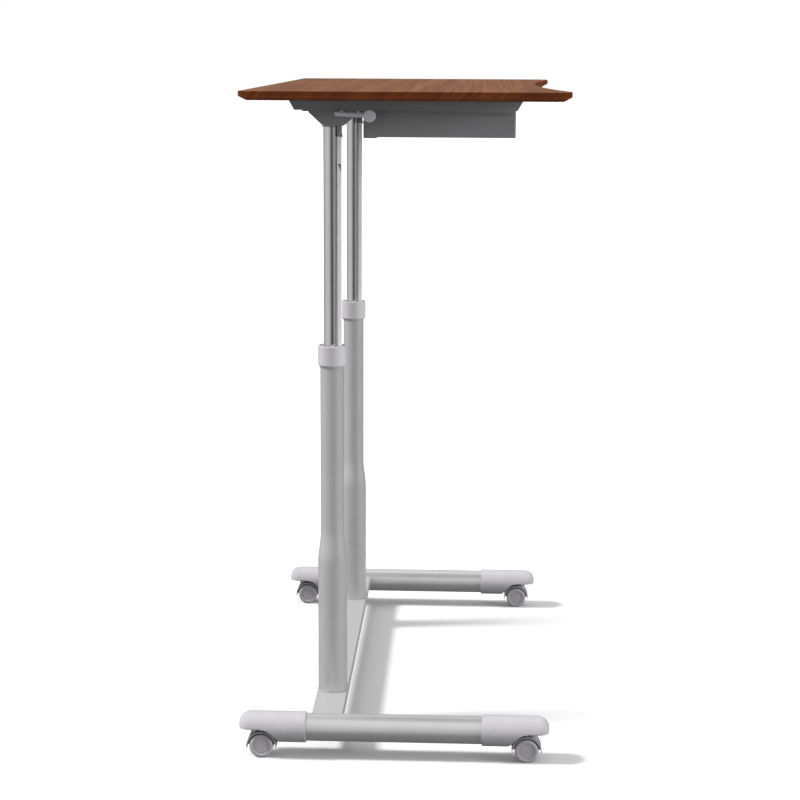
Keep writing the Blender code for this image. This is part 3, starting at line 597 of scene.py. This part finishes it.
def side_bracket(side, sign):
    node = "side_bracket_" + side
    low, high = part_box(node)
    x = middle(node).x
    outline = [(low.y + BRACKET_SLOPE_FRONT, low.z, 1.6 * MM),
               (high.y - BRACKET_SLOPE_REAR, low.z, 1.6 * MM), (high.y, high.z, 0.0), (low.y, high.z, 0.0)]
    inside = (high.x - low.x) / 2 - BRACKET_WALL
    hollow = block((x - inside, low.y - 0.02, low.z - 0.01),
                   (x + inside, high.y + 0.02, high.z - BRACKET_WALL))
    piece(node + "_shell", prism(outline, high.x - low.x, OUTLINE_YZ, at(x, 0, 0)), GREY, "lift",
          [node], bevel=0.7 * MM, cuts=[hollow, shaft_notch(sign)])
    heads = [screw_head(4.2 * MM, 2.4 * MM, at(x, y, high.z - BRACKET_WALL, TO_DOWN))
             for y in BRACKET_SCREWS_Y]
    piece("bracket_screws_" + side, merged(*heads), ZINC, "lift")


def shaft_notch(sign):
    """Cutter for the drive shaft: through both walls on the left, the inner wall on the right."""
    shaft = middle("drive_shaft")
    start, end = NOTCH_LEFT if sign < 0 else NOTCH_RIGHT
    return drill(SHAFT_NOTCH_R, end - start, at((start + end) / 2, shaft.y, shaft.z, TO_X), 48)


def cross_channel():
    low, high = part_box("cross_channel")
    half, wall = (high.y - low.y) / 2, CHANNEL_WALL
    outline = channel(half, wall, low.z, high.z, 0.4, 0.8, 2.6)
    body = prism(outline, high.x - low.x, OUTLINE_YZ, at(0, middle("cross_channel").y, 0))
    piece("cross_channel_shell", body, GREY, "lift", ["cross_channel"], smooth=30)


def leg_head(side, sign):
    node = "leg_head_" + side
    low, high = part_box(node)
    x, wide = middle(node).x, high.x - low.x
    rim = high.z - HEAD_RIM
    shoulder = low.z + HEAD_SLOPE
    outline = [(HEAD_SHOULDER_Y[0], shoulder, 2.0 * MM), (HEAD_FOOT_Y[0], low.z, 10.0 * MM),
               (HEAD_FOOT_Y[1], low.z, 10.0 * MM), (HEAD_SHOULDER_Y[1], shoulder, 2.0 * MM),
               (HEAD_NECK_Y[1], rim, 1.0 * MM), (high.y, rim, 0.6 * MM), (high.y, high.z, 0.0),
               (low.y, high.z, 0.0), (low.y, rim, 0.6 * MM), (HEAD_NECK_Y[0], rim, 1.0 * MM)]
    wall, above = HEAD_WALL, high.z + 6 * MM
    inside = [(HEAD_INNER_FOOT_Y[0], low.z + wall, 7 * MM), (HEAD_INNER_FOOT_Y[1], low.z + wall, 7 * MM),
              (HEAD_INNER_TOP_Y[1], above, 0), (HEAD_INNER_TOP_Y[0], above, 0)]
    hollow = prism(inside, wide - 2 * wall, OUTLINE_YZ, at(x, 0, 0))
    tube = middle("inner_tube_" + side)
    hole = drill(6.8 * MM, 0.02, at(x, tube.y, low.z), 48)
    piece(node + "_housing", prism(outline, wide, OUTLINE_YZ, at(x, 0, 0)), GREY, "lift",
          [node], bevel=0.8 * MM, cuts=[hollow, hole, shaft_notch(sign)], tangled=True)
    tube_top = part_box("inner_tube_" + side)[1].z
    under = tube_top - FERRULE_HIGH
    ring = turned([(FERRULE_BORE, under, 0.3 * MM), (FERRULE_R, under, 0.6 * MM),
                   (FERRULE_R, tube_top, 0.2 * MM), (FERRULE_BORE, tube_top, 0.2 * MM)], at(x, tube.y, 0))
    ring_cut = block((x - 0.02, 0.08, tube_top - 0.01), (x + 0.02, tube.y - 0.0115, tube_top + 0.01))
    piece("tube_ferrule_" + side, ring, STEEL_Z, "lift", cuts=[ring_cut])


def drawer_runner(side, sign):
    node = "drawer_runner_" + side
    low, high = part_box(node)
    web, wall = RUNNER_WEB_X, 2.0 * MM
    foot_low = low.z
    foot_top = foot_low + 2.2 * MM
    outline = [(RUNNER_FOOT_X, foot_low, 0.3 * MM), (web + wall, foot_low, 1.6 * MM),
               (web + wall, high.z - wall, 0.8 * MM), (RUNNER_FLANGE_X, high.z - wall, 0.3 * MM),
               (RUNNER_FLANGE_X, high.z, 0.3 * MM), (web, high.z, 1.6 * MM), (web, foot_top, 0.5 * MM),
               (RUNNER_FOOT_X, foot_top, 0.3 * MM)]
    outline = [(sign * x, z, r) for x, z, r in outline]
    piece(node + "_angle", prism(outline, high.y - low.y, OUTLINE_XZ, at(0, (low.y + high.y) / 2, 0)), GREY,
          "lift", [node], smooth=30)
    heads = [screw_head(2.9 * MM, 1.8 * MM, at(sign * RUNNER_SCREW_X, y, high.z - wall, TO_DOWN))
             for y in RUNNER_SCREWS_Y]
    piece("runner_screws_" + side, merged(*heads), ZINC, "lift")


def drawer():
    low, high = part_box("drawer")
    half, wall = DRAWER_HALF, 2.0 * MM
    floor = low.z + 2.0 * MM               # the stop strip hangs below the tray
    corner = 3.0 * MM

    def plan(inset, height):
        r = max(corner - inset, 0.6 * MM)
        line = eased([(half - inset, low.y + inset, r), (half - inset, high.y - inset, r),
                      (inset - half, high.y - inset, r), (inset - half, low.y + inset, r)], step=18)
        return [(x, y, height) for x, y in line]

    rings = [plan(1.3 * MM, floor), plan(0.4 * MM, floor + 0.35 * MM), plan(0.0, floor + 1.3 * MM),
             plan(0.0, high.z - 0.5 * MM), plan(0.4 * MM, high.z), plan(wall - 0.4 * MM, high.z),
             plan(wall, high.z - 0.5 * MM), plan(wall, floor + wall + 1.2 * MM),
             plan(wall + 0.4 * MM, floor + wall + 0.3 * MM), plan(wall + 1.2 * MM, floor + wall)]
    tray = loft(rings)
    lips = []
    for s in (-1, 1):
        near, far = sorted((s * DRAWER_LIP_IN, s * DRAWER_LIP_OUT))
        lips.append(block((near, low.y + 10 * MM, high.z - 2 * MM), (far, high.y - MM, high.z - 0.01 * MM)))
    stop = block((-half + 0.4 * MM, high.y - 24.8 * MM, low.z),
                 (half - 0.4 * MM, high.y - 0.2 * MM, floor + 0.5 * MM))
    finger = [(-FINGER_HALF, high.z - FINGER_DEEP, 8 * MM), (FINGER_HALF, high.z - FINGER_DEEP, 8 * MM),
              (FINGER_HALF, high.z + 5 * MM, 0), (-FINGER_HALF, high.z + 5 * MM, 0)]
    notch = prism(finger, 0.02, OUTLINE_XZ, at(0, low.y, 0))
    seams = [block((s * half - 0.35 * MM, high.y - 3.6 * MM, floor + 1.5 * MM),
                   (s * half + 0.35 * MM, high.y - 3.0 * MM, high.z - 2.6 * MM)) for s in (-1, 1)]
    piece("drawer_tray", tray, GREY, "drawer", ["drawer"], bevel=0.3 * MM, segments=2,
          joins=lips + [stop], cuts=[notch] + seams)
    rivets = []
    dome = [(0.0, 0.8 * MM, 0), (1.5 * MM, 0.6 * MM, 0.5 * MM), (1.7 * MM, 0.0, 0), (0.0, 0.0, 0)]
    for s in (-1, 1):
        for y in (low.y + 11.8 * MM, high.y - 9.0 * MM):
            place = at(s * half, y, high.z - 5.2 * MM, TO_X if s > 0 else TO_LEFT)
            rivets.append(turned(dome, place, 24))
    piece("drawer_rivets", merged(*rivets), ZINC, "drawer")


# --- legs ---------------------------------------------------------------------------
FLARE_TOP, FLARE_BOTTOM = 0.3960, 0.3280
UPPER_R, TUBE_WALL = 22.4 * MM, 1.2 * MM
CHROME_BORE = 11.2 * MM
COLLAR_RIBS = (15, 60, 90, 120, 165, 215, 325)   # degrees from +X
MARK_DOWN = 52.5 * MM                             # height mark, below the strip's top


def outer_tube(side):
    node = "outer_tube_" + side
    low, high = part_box(node)
    spot = middle(node)
    lower_r = (high.x - low.x) / 2

    def flare(shrink):
        points = []
        for i in range(17):
            blend = (1 - math.cos(math.pi * i / 16)) / 2
            points.append((UPPER_R + (lower_r - UPPER_R) * blend - shrink,
                           FLARE_TOP + (FLARE_BOTTOM - FLARE_TOP) * i / 16, 0))
        return points

    profile = [(UPPER_R, high.z, 0.4 * MM)] + flare(0) + [(lower_r, low.z, 0)]
    profile += [(lower_r - TUBE_WALL, low.z, 0)] + flare(TUBE_WALL)[::-1]
    profile += [(UPPER_R - TUBE_WALL, high.z, 0.4 * MM)]
    body = turned(profile, at(spot.x, spot.y, 0), 128)
    piece(node + "_shell", body, SILVER, "base", [node])


def collar(side):
    node = "collar_" + side
    low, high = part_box(node)
    spot, radius = middle(node), (high.x - low.x) / 2
    tube = middle("inner_tube_" + side)
    strip_low, strip_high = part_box("guide_strip_" + side)
    deck, web = high.z - 1.5 * MM, high.z - 9.8 * MM
    bore = UPPER_R + 0.3 * MM
    profile = [(0.0, deck, 0), (0.0218, deck, 0.4 * MM), (0.0224, high.z, 0.4 * MM),
               (radius, high.z, 1.3 * MM), (radius, low.z + 3.8 * MM, 1.8 * MM),
               (radius - 2.5 * MM, low.z, 0.8 * MM), (bore, low.z, 0.3 * MM), (bore, web, 0), (0.0, web, 0)]
    hole = drill(13.2 * MM, 0.04, at(spot.x, tube.y, high.z))
    slot = block((strip_low.x - 0.5 * MM, strip_low.y - 0.6 * MM, high.z - 0.02),
                 (strip_high.x + 0.5 * MM, tube.y - 5 * MM, high.z + 0.02))
    ribs = []
    for degrees in COLLAR_RIBS:
        angle = math.radians(degrees)
        rib = block((0.0140, -0.6 * MM, deck - MM), (0.0225, 0.6 * MM, deck + 0.9 * MM))
        rib.transform(at(spot.x, spot.y, 0) @ Matrix.Rotation(angle, 4, "Z"))
        ribs.append(rib)
    # a lighter copy of the caps' pale plastic: painted light
    piece(node + "_guide", turned(profile, at(spot.x, spot.y, 0)), COLLAR, "base", [node],
          joins=ribs, cuts=[hole, slot])


def inner_tube(side):
    node = "inner_tube_" + side
    low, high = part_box(node)
    spot, radius = middle(node), (high.x - low.x) / 2
    profile = pipe(radius, CHROME_BORE, high.z, low.z, 0, 0.3, 0.3, 0)
    body = turned(profile, at(spot.x, spot.y, 0), 128)
    piece(node + "_plated", body, CHROME, "lift", [node])


def guide_strip(side):
    node = "guide_strip_" + side
    low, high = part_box(node)
    x = middle(node).x
    half = (high.x - low.x) / 2
    line = eased([(-half, low.y, 1.1 * MM), (half, low.y, 1.1 * MM), (half, high.y, 0.3 * MM),
                  (-half, high.y, 0.3 * MM)])
    bm = loft([[(x + u, v, z) for u, v in line] for z in (low.z, high.z)])
    piece(node + "_bar", bm, STRIP, "lift", [node], smooth=40)
    if side == "left":
        mark = high.z - MARK_DOWN
        face, front, rear = x - half - 0.08 * MM, low.y + 0.9 * MM, high.y - 1.6 * MM
        shape = [(rear, mark + 2 * MM), (front, mark + 2 * MM), (front, mark - 15 * MM),
                 (front + 1.4 * MM, mark - 8 * MM), (rear - 1.8 * MM, mark - 1 * MM)]
        rings = [[(face + depth, y, z) for y, z in shape] for depth in (0.0, 0.4 * MM)]
        piece("height_mark", loft(rings), INK, "lift")
    bracket = "strip_bracket_" + side
    low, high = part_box(bracket)
    front, rear = high.y - 8.7 * MM, high.y
    low_z = low.z + 2.0 * MM
    outline = [(front, high.z, 0), (front, low_z + 4.0 * MM, 1.0 * MM),
               (front - 1.4 * MM, low_z + 2.2 * MM, 0.6 * MM), (front - 1.2 * MM, low_z - 1.0 * MM, 0.3 * MM),
               (front - 0.3 * MM, low_z - 2.0 * MM, 0.2 * MM), (front, low_z + 0.4 * MM, 0.2 * MM),
               (front + 1.4 * MM, low_z, 0.3 * MM), (rear, low_z, 0), (rear, high.z, 0)]
    body = prism(outline, high.x - low.x, OUTLINE_YZ, at(x, 0, 0))
    piece(bracket + "_clip", body, GREY, "lift", [bracket], bevel=0.4 * MM, segments=2)


# --- drive and crank ----------------------------------------------------------------
SHAFT_BORE = 4.9 * MM
CRANK_R, CRANK_BEND = 4.5 * MM, 7.8 * MM
CRANK_ROD_END, CRANK_ARM_X = -0.0450, -370.5 * MM
SET_SCREWS_Y, SET_SCREW = (0.1098, 0.0800), 2.7 * MM
KNOB_BORE = 3.2 * MM


def drive_shaft():
    low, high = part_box("drive_shaft")
    spot = middle("drive_shaft")
    radius, half = (high.z - low.z) / 2, (high.x - low.x) / 2
    profile = pipe(radius, SHAFT_BORE, half, -half, 0.5, 0.5, 0.4, 0.4)
    piece("drive_shaft_bar", turned(profile, at(spot.x, spot.y, spot.z, TO_X), 48), STEEL_X, "drive",
          ["drive_shaft"])


def crank():
    low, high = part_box("crank_socket")
    spot = middle("crank_socket")
    half, outer = (high.x - low.x) / 2, (high.z - low.z) / 2
    profile = pipe(outer, SHAFT_BORE, half, -half, 1.2, 1.0, 0.5, 0.5)
    groove = turned([(outer - 0.8 * MM, -1.0 * MM, 0), (outer + MM, -1.0 * MM, 0), (outer + MM, 1.0 * MM, 0),
                     (outer - 0.8 * MM, 1.0 * MM, 0)], at(spot.x, spot.y, spot.z, TO_X), 64)
    piece("crank_socket_ring", turned(profile, at(spot.x, spot.y, spot.z, TO_X), 64), GREY, "crank_socket",
          ["crank_socket"], cuts=[groove])

    knob_low, knob_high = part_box("crank_knob")
    knob = middle("crank_knob")
    spindle_end = knob_high.x + 0.6 * MM
    corners = [(CRANK_ROD_END, spot.y, spot.z), (CRANK_ARM_X, spot.y, spot.z),
               (CRANK_ARM_X, knob.y, knob.z), (spindle_end, knob.y, knob.z)]
    path = bent(corners, CRANK_BEND)
    piece("crank_bar", swept(path, CRANK_R, 32), CRANK, "crank", ["crank_arm"], smooth=40)
    heads = []
    for y in SET_SCREWS_Y:
        share = (y - knob.y) / (spot.y - knob.y)
        z = knob.z + (spot.z - knob.z) * share + CRANK_R - 0.4 * MM
        heads.append(screw_head(SET_SCREW, SET_SCREW, at(CRANK_ARM_X, y, z)))
    piece("crank_set_screws", merged(*heads), CRANK, "crank")

    length, grip = knob_high.x - knob_low.x, (knob_high.z - knob_low.z) / 2
    bore, blind = KNOB_BORE, length - 4.2 * MM
    profile = [(0.0, length, 0), (grip * 0.62, length - 0.25 * MM, 6 * MM),
               (grip, length - 0.9 * MM, 1.6 * MM), (grip, 1.6 * MM, 1.2 * MM),
               (grip - 1.6 * MM, 0.0, 0.6 * MM), (bore, 0.0, 0.3 * MM), (bore, blind, 0), (0.0, blind, 0)]
    body = turned(profile, at(knob_high.x, knob.y, knob.z, TO_LEFT))
    piece("knob_grip", body, KNOB, "knob", ["crank_knob"])


# --- base ---------------------------------------------------------------------------
def foot_tube(side):
    node = "foot_tube_" + side
    low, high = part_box(node)
    spot, radius = middle(node), (high.x - low.x) / 2
    half = (high.y - low.y) / 2
    profile = pipe(radius, radius - 1.8 * MM, half, -half, 0.4, 0.4, 0.3, 0.3)
    body = turned(profile, at(spot.x, spot.y, spot.z, TO_Y), 128)
    # a brighter copy of the silver paint: painted light
    piece(node + "_bar", body, FOOT_SILVER_PAINTED_LIGHT, "base", [node])


def base_beam():
    low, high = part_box("base_beam")
    half, wall = (high.y - low.y) / 2, 2.5 * MM
    foot_x = middle("foot_tube_right").x
    foot_z = middle("foot_tube_right").z
    foot_r = (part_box("foot_tube_right")[1].x - foot_x)
    outline = channel(half, wall, low.z, high.z, 0.5, 1.0, 2.4)
    y = middle("base_beam").y
    saddles = [drill(foot_r + 0.3 * MM, 0.2, at(s * foot_x, y, foot_z, TO_Y), 128) for s in (-1, 1)]
    body = prism(outline, 2 * foot_x, OUTLINE_YZ, at(0, y, 0))
    piece("base_beam_channel", body, SILVER, "base", ["base_beam"], cuts=saddles, smooth=30)


# --- casters ------------------------------------------------------------------------
SWIVEL_TO_TIP = 29.5 * MM
NOSE, NOSE_POWER = 27.0 * MM, 2.6
CAP_SOCKET = 43.0 * MM
NOSE_FLAT = 3.0 * MM
# hollow over the caster: distance from the swivel and height, in millimetres
RECESS = [(0.0, 59.0), (30.0, 59.0), (33.0, 58.2), (36.0, 55.5), (41.7, 49.0), (45.5, 40.5), (47.0, 30.0)]
CEILING_Z = RECESS[0][1] * MM
WHEEL_R = 22.5 * MM
HOOD_R, HOOD_HALF = 28.0 * MM, 16.5 * MM
WHEEL_TRAIL = 12.5 * MM
CAP_SOLID_TO, RECESS_FROM = -56.0 * MM, -47.5 * MM    # along the cap, outwards from the swivel
CAP_MIDDLE_Z = 68.0 * MM
NECK_R, FORK_BORE, AXLE_R, WEB_THICK = 8.0 * MM, 3.3 * MM, 3.0 * MM, 5.0 * MM


def recess_height(reach):
    """Height of the hollow over the caster at a distance from its swivel."""
    reach /= MM
    for (r0, z0), (r1, z1) in zip(RECESS, RECESS[1:]):
        if reach <= r1:
            return (z0 + (z1 - z0) * (reach - r0) / (r1 - r0)) * MM
    return -1.0


def ray_to_circle(up, lift, radius):
    """Distance from a point lift above a circle's middle to the circle, along a slope."""
    return -up * lift + math.sqrt(max(radius ** 2 - lift ** 2 * (1 - up * up), 0.0))


def ray_to_recess(across, up, start, y, limit):
    """Distance from a point on the swivel plane to the hollow, or None when it isn't met."""
    def over(t):
        return start + t * up - recess_height(math.hypot(t * across, y))

    last, probe = 0.0, 1.5 * MM
    while probe < limit:
        if over(probe) <= 0:
            for _ in range(10):
                half = (last + probe) / 2
                last, probe = (half, probe) if over(half) > 0 else (last, half)
            return last
        last, probe = probe, probe + 1.5 * MM
    return None


def cap_body(cap_r, foot_z, inner, bore):
    """The foot end, local +Y outwards from the swivel: a round nose with a hollow under it."""
    steps, tip = 120, SWIVEL_TO_TIP
    stations = [inner, inner + 0.3 * MM, inner + 1.0 * MM]
    stations += [inner + (6.0 + 5.0 * i) * MM for i in range(7)]
    start, count = CAP_SOLID_TO, 84
    stations += [start + (tip - start) * (1 - (1 - i / count) ** 1.35) for i in range(count + 1)]
    rings = []
    for k, y in enumerate(stations):
        nose = min(1.0, max(0.0, (y - (tip - NOSE)) / NOSE))
        radius = NOSE_FLAT + (cap_r - NOSE_FLAT) * (1 - nose ** NOSE_POWER) ** (1 / NOSE_POWER)
        radius -= (1.0 * MM, 0.3 * MM)[k] if k < 2 else 0.0
        share = min(1.0, max(0.0, (y - CAP_SOLID_TO) / (9.0 * MM)))
        crown = foot_z + radius
        middle_z = foot_z + (min(CAP_MIDDLE_Z, (CEILING_Z + crown) / 2) - foot_z) * share
        soften = min(2.2 * MM, 0.35 * (crown - CEILING_Z))
        ring = []
        for i in range(steps):
            angle = 2 * math.pi * i / steps
            across, up = math.sin(angle), math.cos(angle)
            reach = ray_to_circle(up, middle_z - foot_z, radius)
            cut = None
            if up < 0.2 and y > RECESS_FROM:
                cut = ray_to_recess(across, up, middle_z, y, reach + soften)
            if cut is not None:
                near = max(soften - abs(cut - reach), 0.0) / soften
                reach = min(cut, reach) - near * near * soften * 0.25
            ring.append((reach * across, y, middle_z + reach * up))
        rings.append(ring)
    angles = [2 * math.pi * i / steps for i in range(steps)]
    hollow = [[(bore * math.sin(angle), y, foot_z + bore * math.cos(angle)) for angle in angles]
              for y in (inner + CAP_SOCKET, inner)]
    return loft(hollow + rings)


def hood_body():
    """The caster's fork in its own frame: hood, web and neck."""
    y, z = -WHEEL_TRAIL, WHEEL_R

    def ring(radius, degrees):
        return y + radius * math.cos(math.radians(degrees)), z + radius * math.sin(math.radians(degrees)), 0

    outer, under = [], []
    for i in range(61):
        degrees = -8 + 196 * i / 60
        edge = min(1.0, max(0.0, min(degrees + 8, 188 - degrees) / 34))
        thick = (1.0 + 1.7 * edge * edge * (3 - 2 * edge)) * MM
        outer.append(ring(HOOD_R, degrees))
        under.append(ring(HOOD_R - thick, degrees))
    hood = prism(outer + under[::-1], 2 * HOOD_HALF, OUTLINE_YZ)
    web = [ring(HOOD_R - MM, -2 + 184 * i / 30) for i in range(31)]
    web += [ring(8.5 * MM, 210 + 10 * i) for i in range(13)]
    plate = prism(web, WEB_THICK, OUTLINE_YZ)
    top = CEILING_Z - 0.5 * MM
    foot = z + 15 * MM
    neck = turned([(0.0, top, 0), (NECK_R, top, 0.6 * MM), (NECK_R, foot, 0), (0.0, foot, 0)],
                  Matrix.Identity(4), 48)
    under_neck = drill(HOOD_R - 1.5 * MM, 0.05, at(0, y, z, TO_X), 96)
    hole = drill(FORK_BORE, 0.04, at(0, y, z, TO_X), 32)
    return hood, plate, neck, under_neck, hole


def wheel_body(direction, matrix):
    """One wheel: ringed outer face, rounded tread shoulders and a blind bore."""
    w, r = 15.0, WHEEL_R / MM
    corners = [(0.0, w - 1.2, 0), (12.6, w - 1.5, 0.5), (13.3, w - 2.1, 0.3), (14.2, w - 2.1, 0.3),
               (14.8, w - 0.7, 0.4), (19.0, w, 2.0), (r, w - 2.6, 2.2), (r, 1.6, 1.2), (r - 1.6, 0.0, 0.5),
               (7.0, 0.0, 0.3), (6.4, 0.7, 0.3), (3.3, 0.7, 0), (3.3, w - 3.6, 0), (0.0, w - 3.6, 0)]
    profile = [(a * MM, b * MM, c * MM) for a, b, c in corners]
    inner = 3.2 * MM
    turn = TO_X if direction > 0 else TO_LEFT
    return turned(profile, matrix @ at(direction * inner, -WHEEL_TRAIL, r * MM, turn), 96)


def foot_end(end, side, sign):
    where = end + "_" + side
    axle = middle("caster_axle_" + where)
    facing = 1 if end == "rear" else -1
    swivel = Vector((middle("end_cap_" + where).x, axle.y + facing * WHEEL_TRAIL, 0.0))
    frame_at = at(swivel.x, swivel.y, 0.0) @ Matrix.Rotation(0.0 if facing > 0 else math.pi, 4, "Z")
    cap_low, cap_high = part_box("end_cap_" + where)
    cap_r = (cap_high.x - cap_low.x) / 2
    foot_z = cap_high.z - cap_r
    inner = SWIVEL_TO_TIP - (cap_high.y - cap_low.y)
    foot_r = (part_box("foot_tube_" + side)[1].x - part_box("foot_tube_" + side)[0].x) / 2
    body = cap_body(cap_r, foot_z, inner, foot_r + 0.3 * MM)
    body.transform(frame_at)
    piece("foot_cap_" + where, body, PALE, "base", ["end_cap_" + where], smooth=50)

    caster = "caster_" + where
    hood, plate, neck, under_neck, hole = hood_body()
    neck = carved(neck, under_neck)
    for bm in (hood, plate, neck, hole):
        bm.transform(frame_at)
    piece("caster_fork_" + where, hood, HOOD, caster, ["caster_hood_" + where],
          bevel=0.5 * MM, joins=[plate, neck], cuts=[hole])
    low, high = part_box("caster_axle_" + where)
    half = (high.x - low.x) / 2
    pin = turned([(0.0, half, 0), (AXLE_R, half, 0.5 * MM), (AXLE_R, -half, 0.5 * MM), (0.0, -half, 0)],
                 at(axle.x, axle.y, axle.z, TO_X), 32)
    piece("caster_pin_" + where, pin, STEEL_X, caster, ["caster_axle_" + where])
    for direction in (-1, 1):
        place = "outer" if direction * facing == sign else "inner"
        name = "wheel_" + where + "_" + place
        piece(name + "_disc", wheel_body(direction, frame_at), WHEEL, name, [name])


# --- everything ---------------------------------------------------------------------
work_top()
cross_channel()
drawer()
drive_shaft()
crank()
base_beam()
for side, sign in SIDES:
    side_bracket(side, sign)
    leg_head(side, sign)
    drawer_runner(side, sign)
    outer_tube(side)
    collar(side)
    inner_tube(side)
    guide_strip(side)
    foot_tube(side)
    for end in ("rear", "front"):
        foot_end(end, side, sign)

# parts inside the legs and heads keep their CAD shape
HIDDEN = {"nut_post": SILVER, "lead_nut": NUT, "tube_bush": NUT, "lead_screw": STEEL_Z, "screw_gear": BRASS,
          "drive_gear": BRASS}
dressed = {stem + "_" + side: material for stem, material in HIDDEN.items() for side, _ in SIDES}
dressed["knob_spindle"] = STEEL_X
for node, material in dressed.items():
    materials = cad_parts[node].data.materials
    materials.clear()
    materials.append(material)


# --- studio -------------------------------------------------------------------------
# a narrow softbox on the user's side, and a broad one round the crank end to the rear
WALLS = [(0.0, 0.10), (0.20, 0.06), (0.30, 0.40), (0.40, 0.08), (0.60, 0.62), (0.80, 0.55), (0.90, 0.10),
         (1.0, 0.10)]
# level against height, 0.5 at the horizon: 1 is all ceiling, then 1 is all bounce from the floor
UPPER = [(0.0, 0.0), (0.58, 0.0), (0.78, 1.0), (1.0, 1.0)]
LOWER = [(0.0, 1.0), (0.30, 1.0), (0.415, 0.0), (1.0, 0.0)]
CEILING, BOUNCE, BACKDROP = 0.62, 0.13, 1.02
# name, (azimuth from +X, elevation), angular size, strength
LAMPS = [
    ("key", (97.0, 45.0), 11.0, 3.9),
    ("fill", (-100.0, 9.0), 30.0, 3.2),
    ("overhead", (0.0, 88.0), 50.0, 0.60),
    ("front", (180.0, 5.0), 24.0, 0.60),
]


def studio():
    scene = bpy.context.scene
    scene.view_settings.view_transform = "Standard"
    bm = bmesh.new()
    bmesh.ops.create_grid(bm, x_segments=1, y_segments=1, size=40.0)
    mesh = bpy.data.meshes.new("studio_floor")
    bm.to_mesh(mesh)
    bm.free()
    floor = bpy.data.objects.new("studio_floor", mesh)
    scene.collection.objects.link(floor)
    paper = Shade("studio_paper", (0.73, 0.73, 0.73), 1.0, Specular_IOR_Level=0.0)
    paper.tint(paper.fit(paper.noise(0.5), 0.0, 1.0, 0.995, 1.0))
    mesh.materials.append(paper.material)
    floor.visible_diffuse = False
    floor.visible_glossy = False

    world = bpy.data.worlds.new("studio")
    scene.world = world
    world.use_nodes = True
    air = Graph(world.node_tree)
    direction = air.node("TexCoord", result="Generated")
    x, y, z = (air.node("SeparateXYZ", result=i, Vector=direction) for i in range(3))

    def levels(value, stops):
        return air.ramp(value, [(position, (level,) * 3) for position, level in stops], "EASE")

    # azimuth: 0.5 towards the camera end, 0.25 the user's side, 0.75 the rear side
    azimuth = air.math("ARCTAN2", y, air.math("MULTIPLY", x, -1.0))
    azimuth = air.math("ADD", air.math("DIVIDE", azimuth, 2 * math.pi), 0.5)
    height = air.math("ADD", air.math("MULTIPLY", z, 0.5), 0.5)
    around = air.mix(levels(height, UPPER), levels(azimuth, WALLS), (CEILING, CEILING, CEILING, 1.0))
    around = air.mix(levels(height, LOWER), around, (BOUNCE, BOUNCE, BOUNCE, 1.0))
    seen = air.node("LightPath", result="Is Camera Ray")
    background = air.tree.nodes["Background"]
    air.set(background, "Color", air.mix(seen, around, (BACKDROP, BACKDROP, BACKDROP, 1.0)))

    for name, (side, height_angle), spread, power in LAMPS:
        lamp = bpy.data.lights.new(name, "SUN")
        lamp.energy, lamp.angle = power, math.radians(spread)
        holder = bpy.data.objects.new(name, lamp)
        side, height_angle = math.radians(side), math.radians(height_angle)
        source = Vector((math.cos(side) * math.cos(height_angle), math.sin(side) * math.cos(height_angle),
                         math.sin(height_angle)))
        holder.rotation_euler = (-source).to_track_quat("-Z", "Y").to_euler()
        holder.visible_glossy = False
        scene.collection.objects.link(holder)


PICTURE = 800                       # pixels across and down
FOCAL_PIXELS = 1790.6
EYE = (-3.6552, -0.1358, 1.3170)
VIEW_ANGLES = (2.395, 11.209, -0.265)   # yaw from +X, pitch down, roll, in degrees


def camera():
    """The view along the desk's length, from the crank end."""
    lens = bpy.data.cameras.new("view")
    lens.sensor_width = 36.0
    lens.sensor_fit = "HORIZONTAL"
    lens.lens = FOCAL_PIXELS * lens.sensor_width / PICTURE
    lens.clip_end = 200.0
    yaw, pitch, roll = (math.radians(a) for a in VIEW_ANGLES)
    ahead = Vector((math.cos(pitch) * math.cos(yaw), math.cos(pitch) * math.sin(yaw), -math.sin(pitch)))
    right = ahead.cross(Vector((0, 0, 1))).normalized()
    down = ahead.cross(right)
    turned_right = right * math.cos(roll) + down * math.sin(roll)
    turned_down = down * math.cos(roll) - right * math.sin(roll)
    holder = bpy.data.objects.new("view", lens)
    holder.matrix_world = Matrix((turned_right, -turned_down, -ahead)).transposed().to_4x4()
    holder.location = EYE
    bpy.context.scene.collection.objects.link(holder)
    bpy.context.scene.camera = holder


studio()
camera()
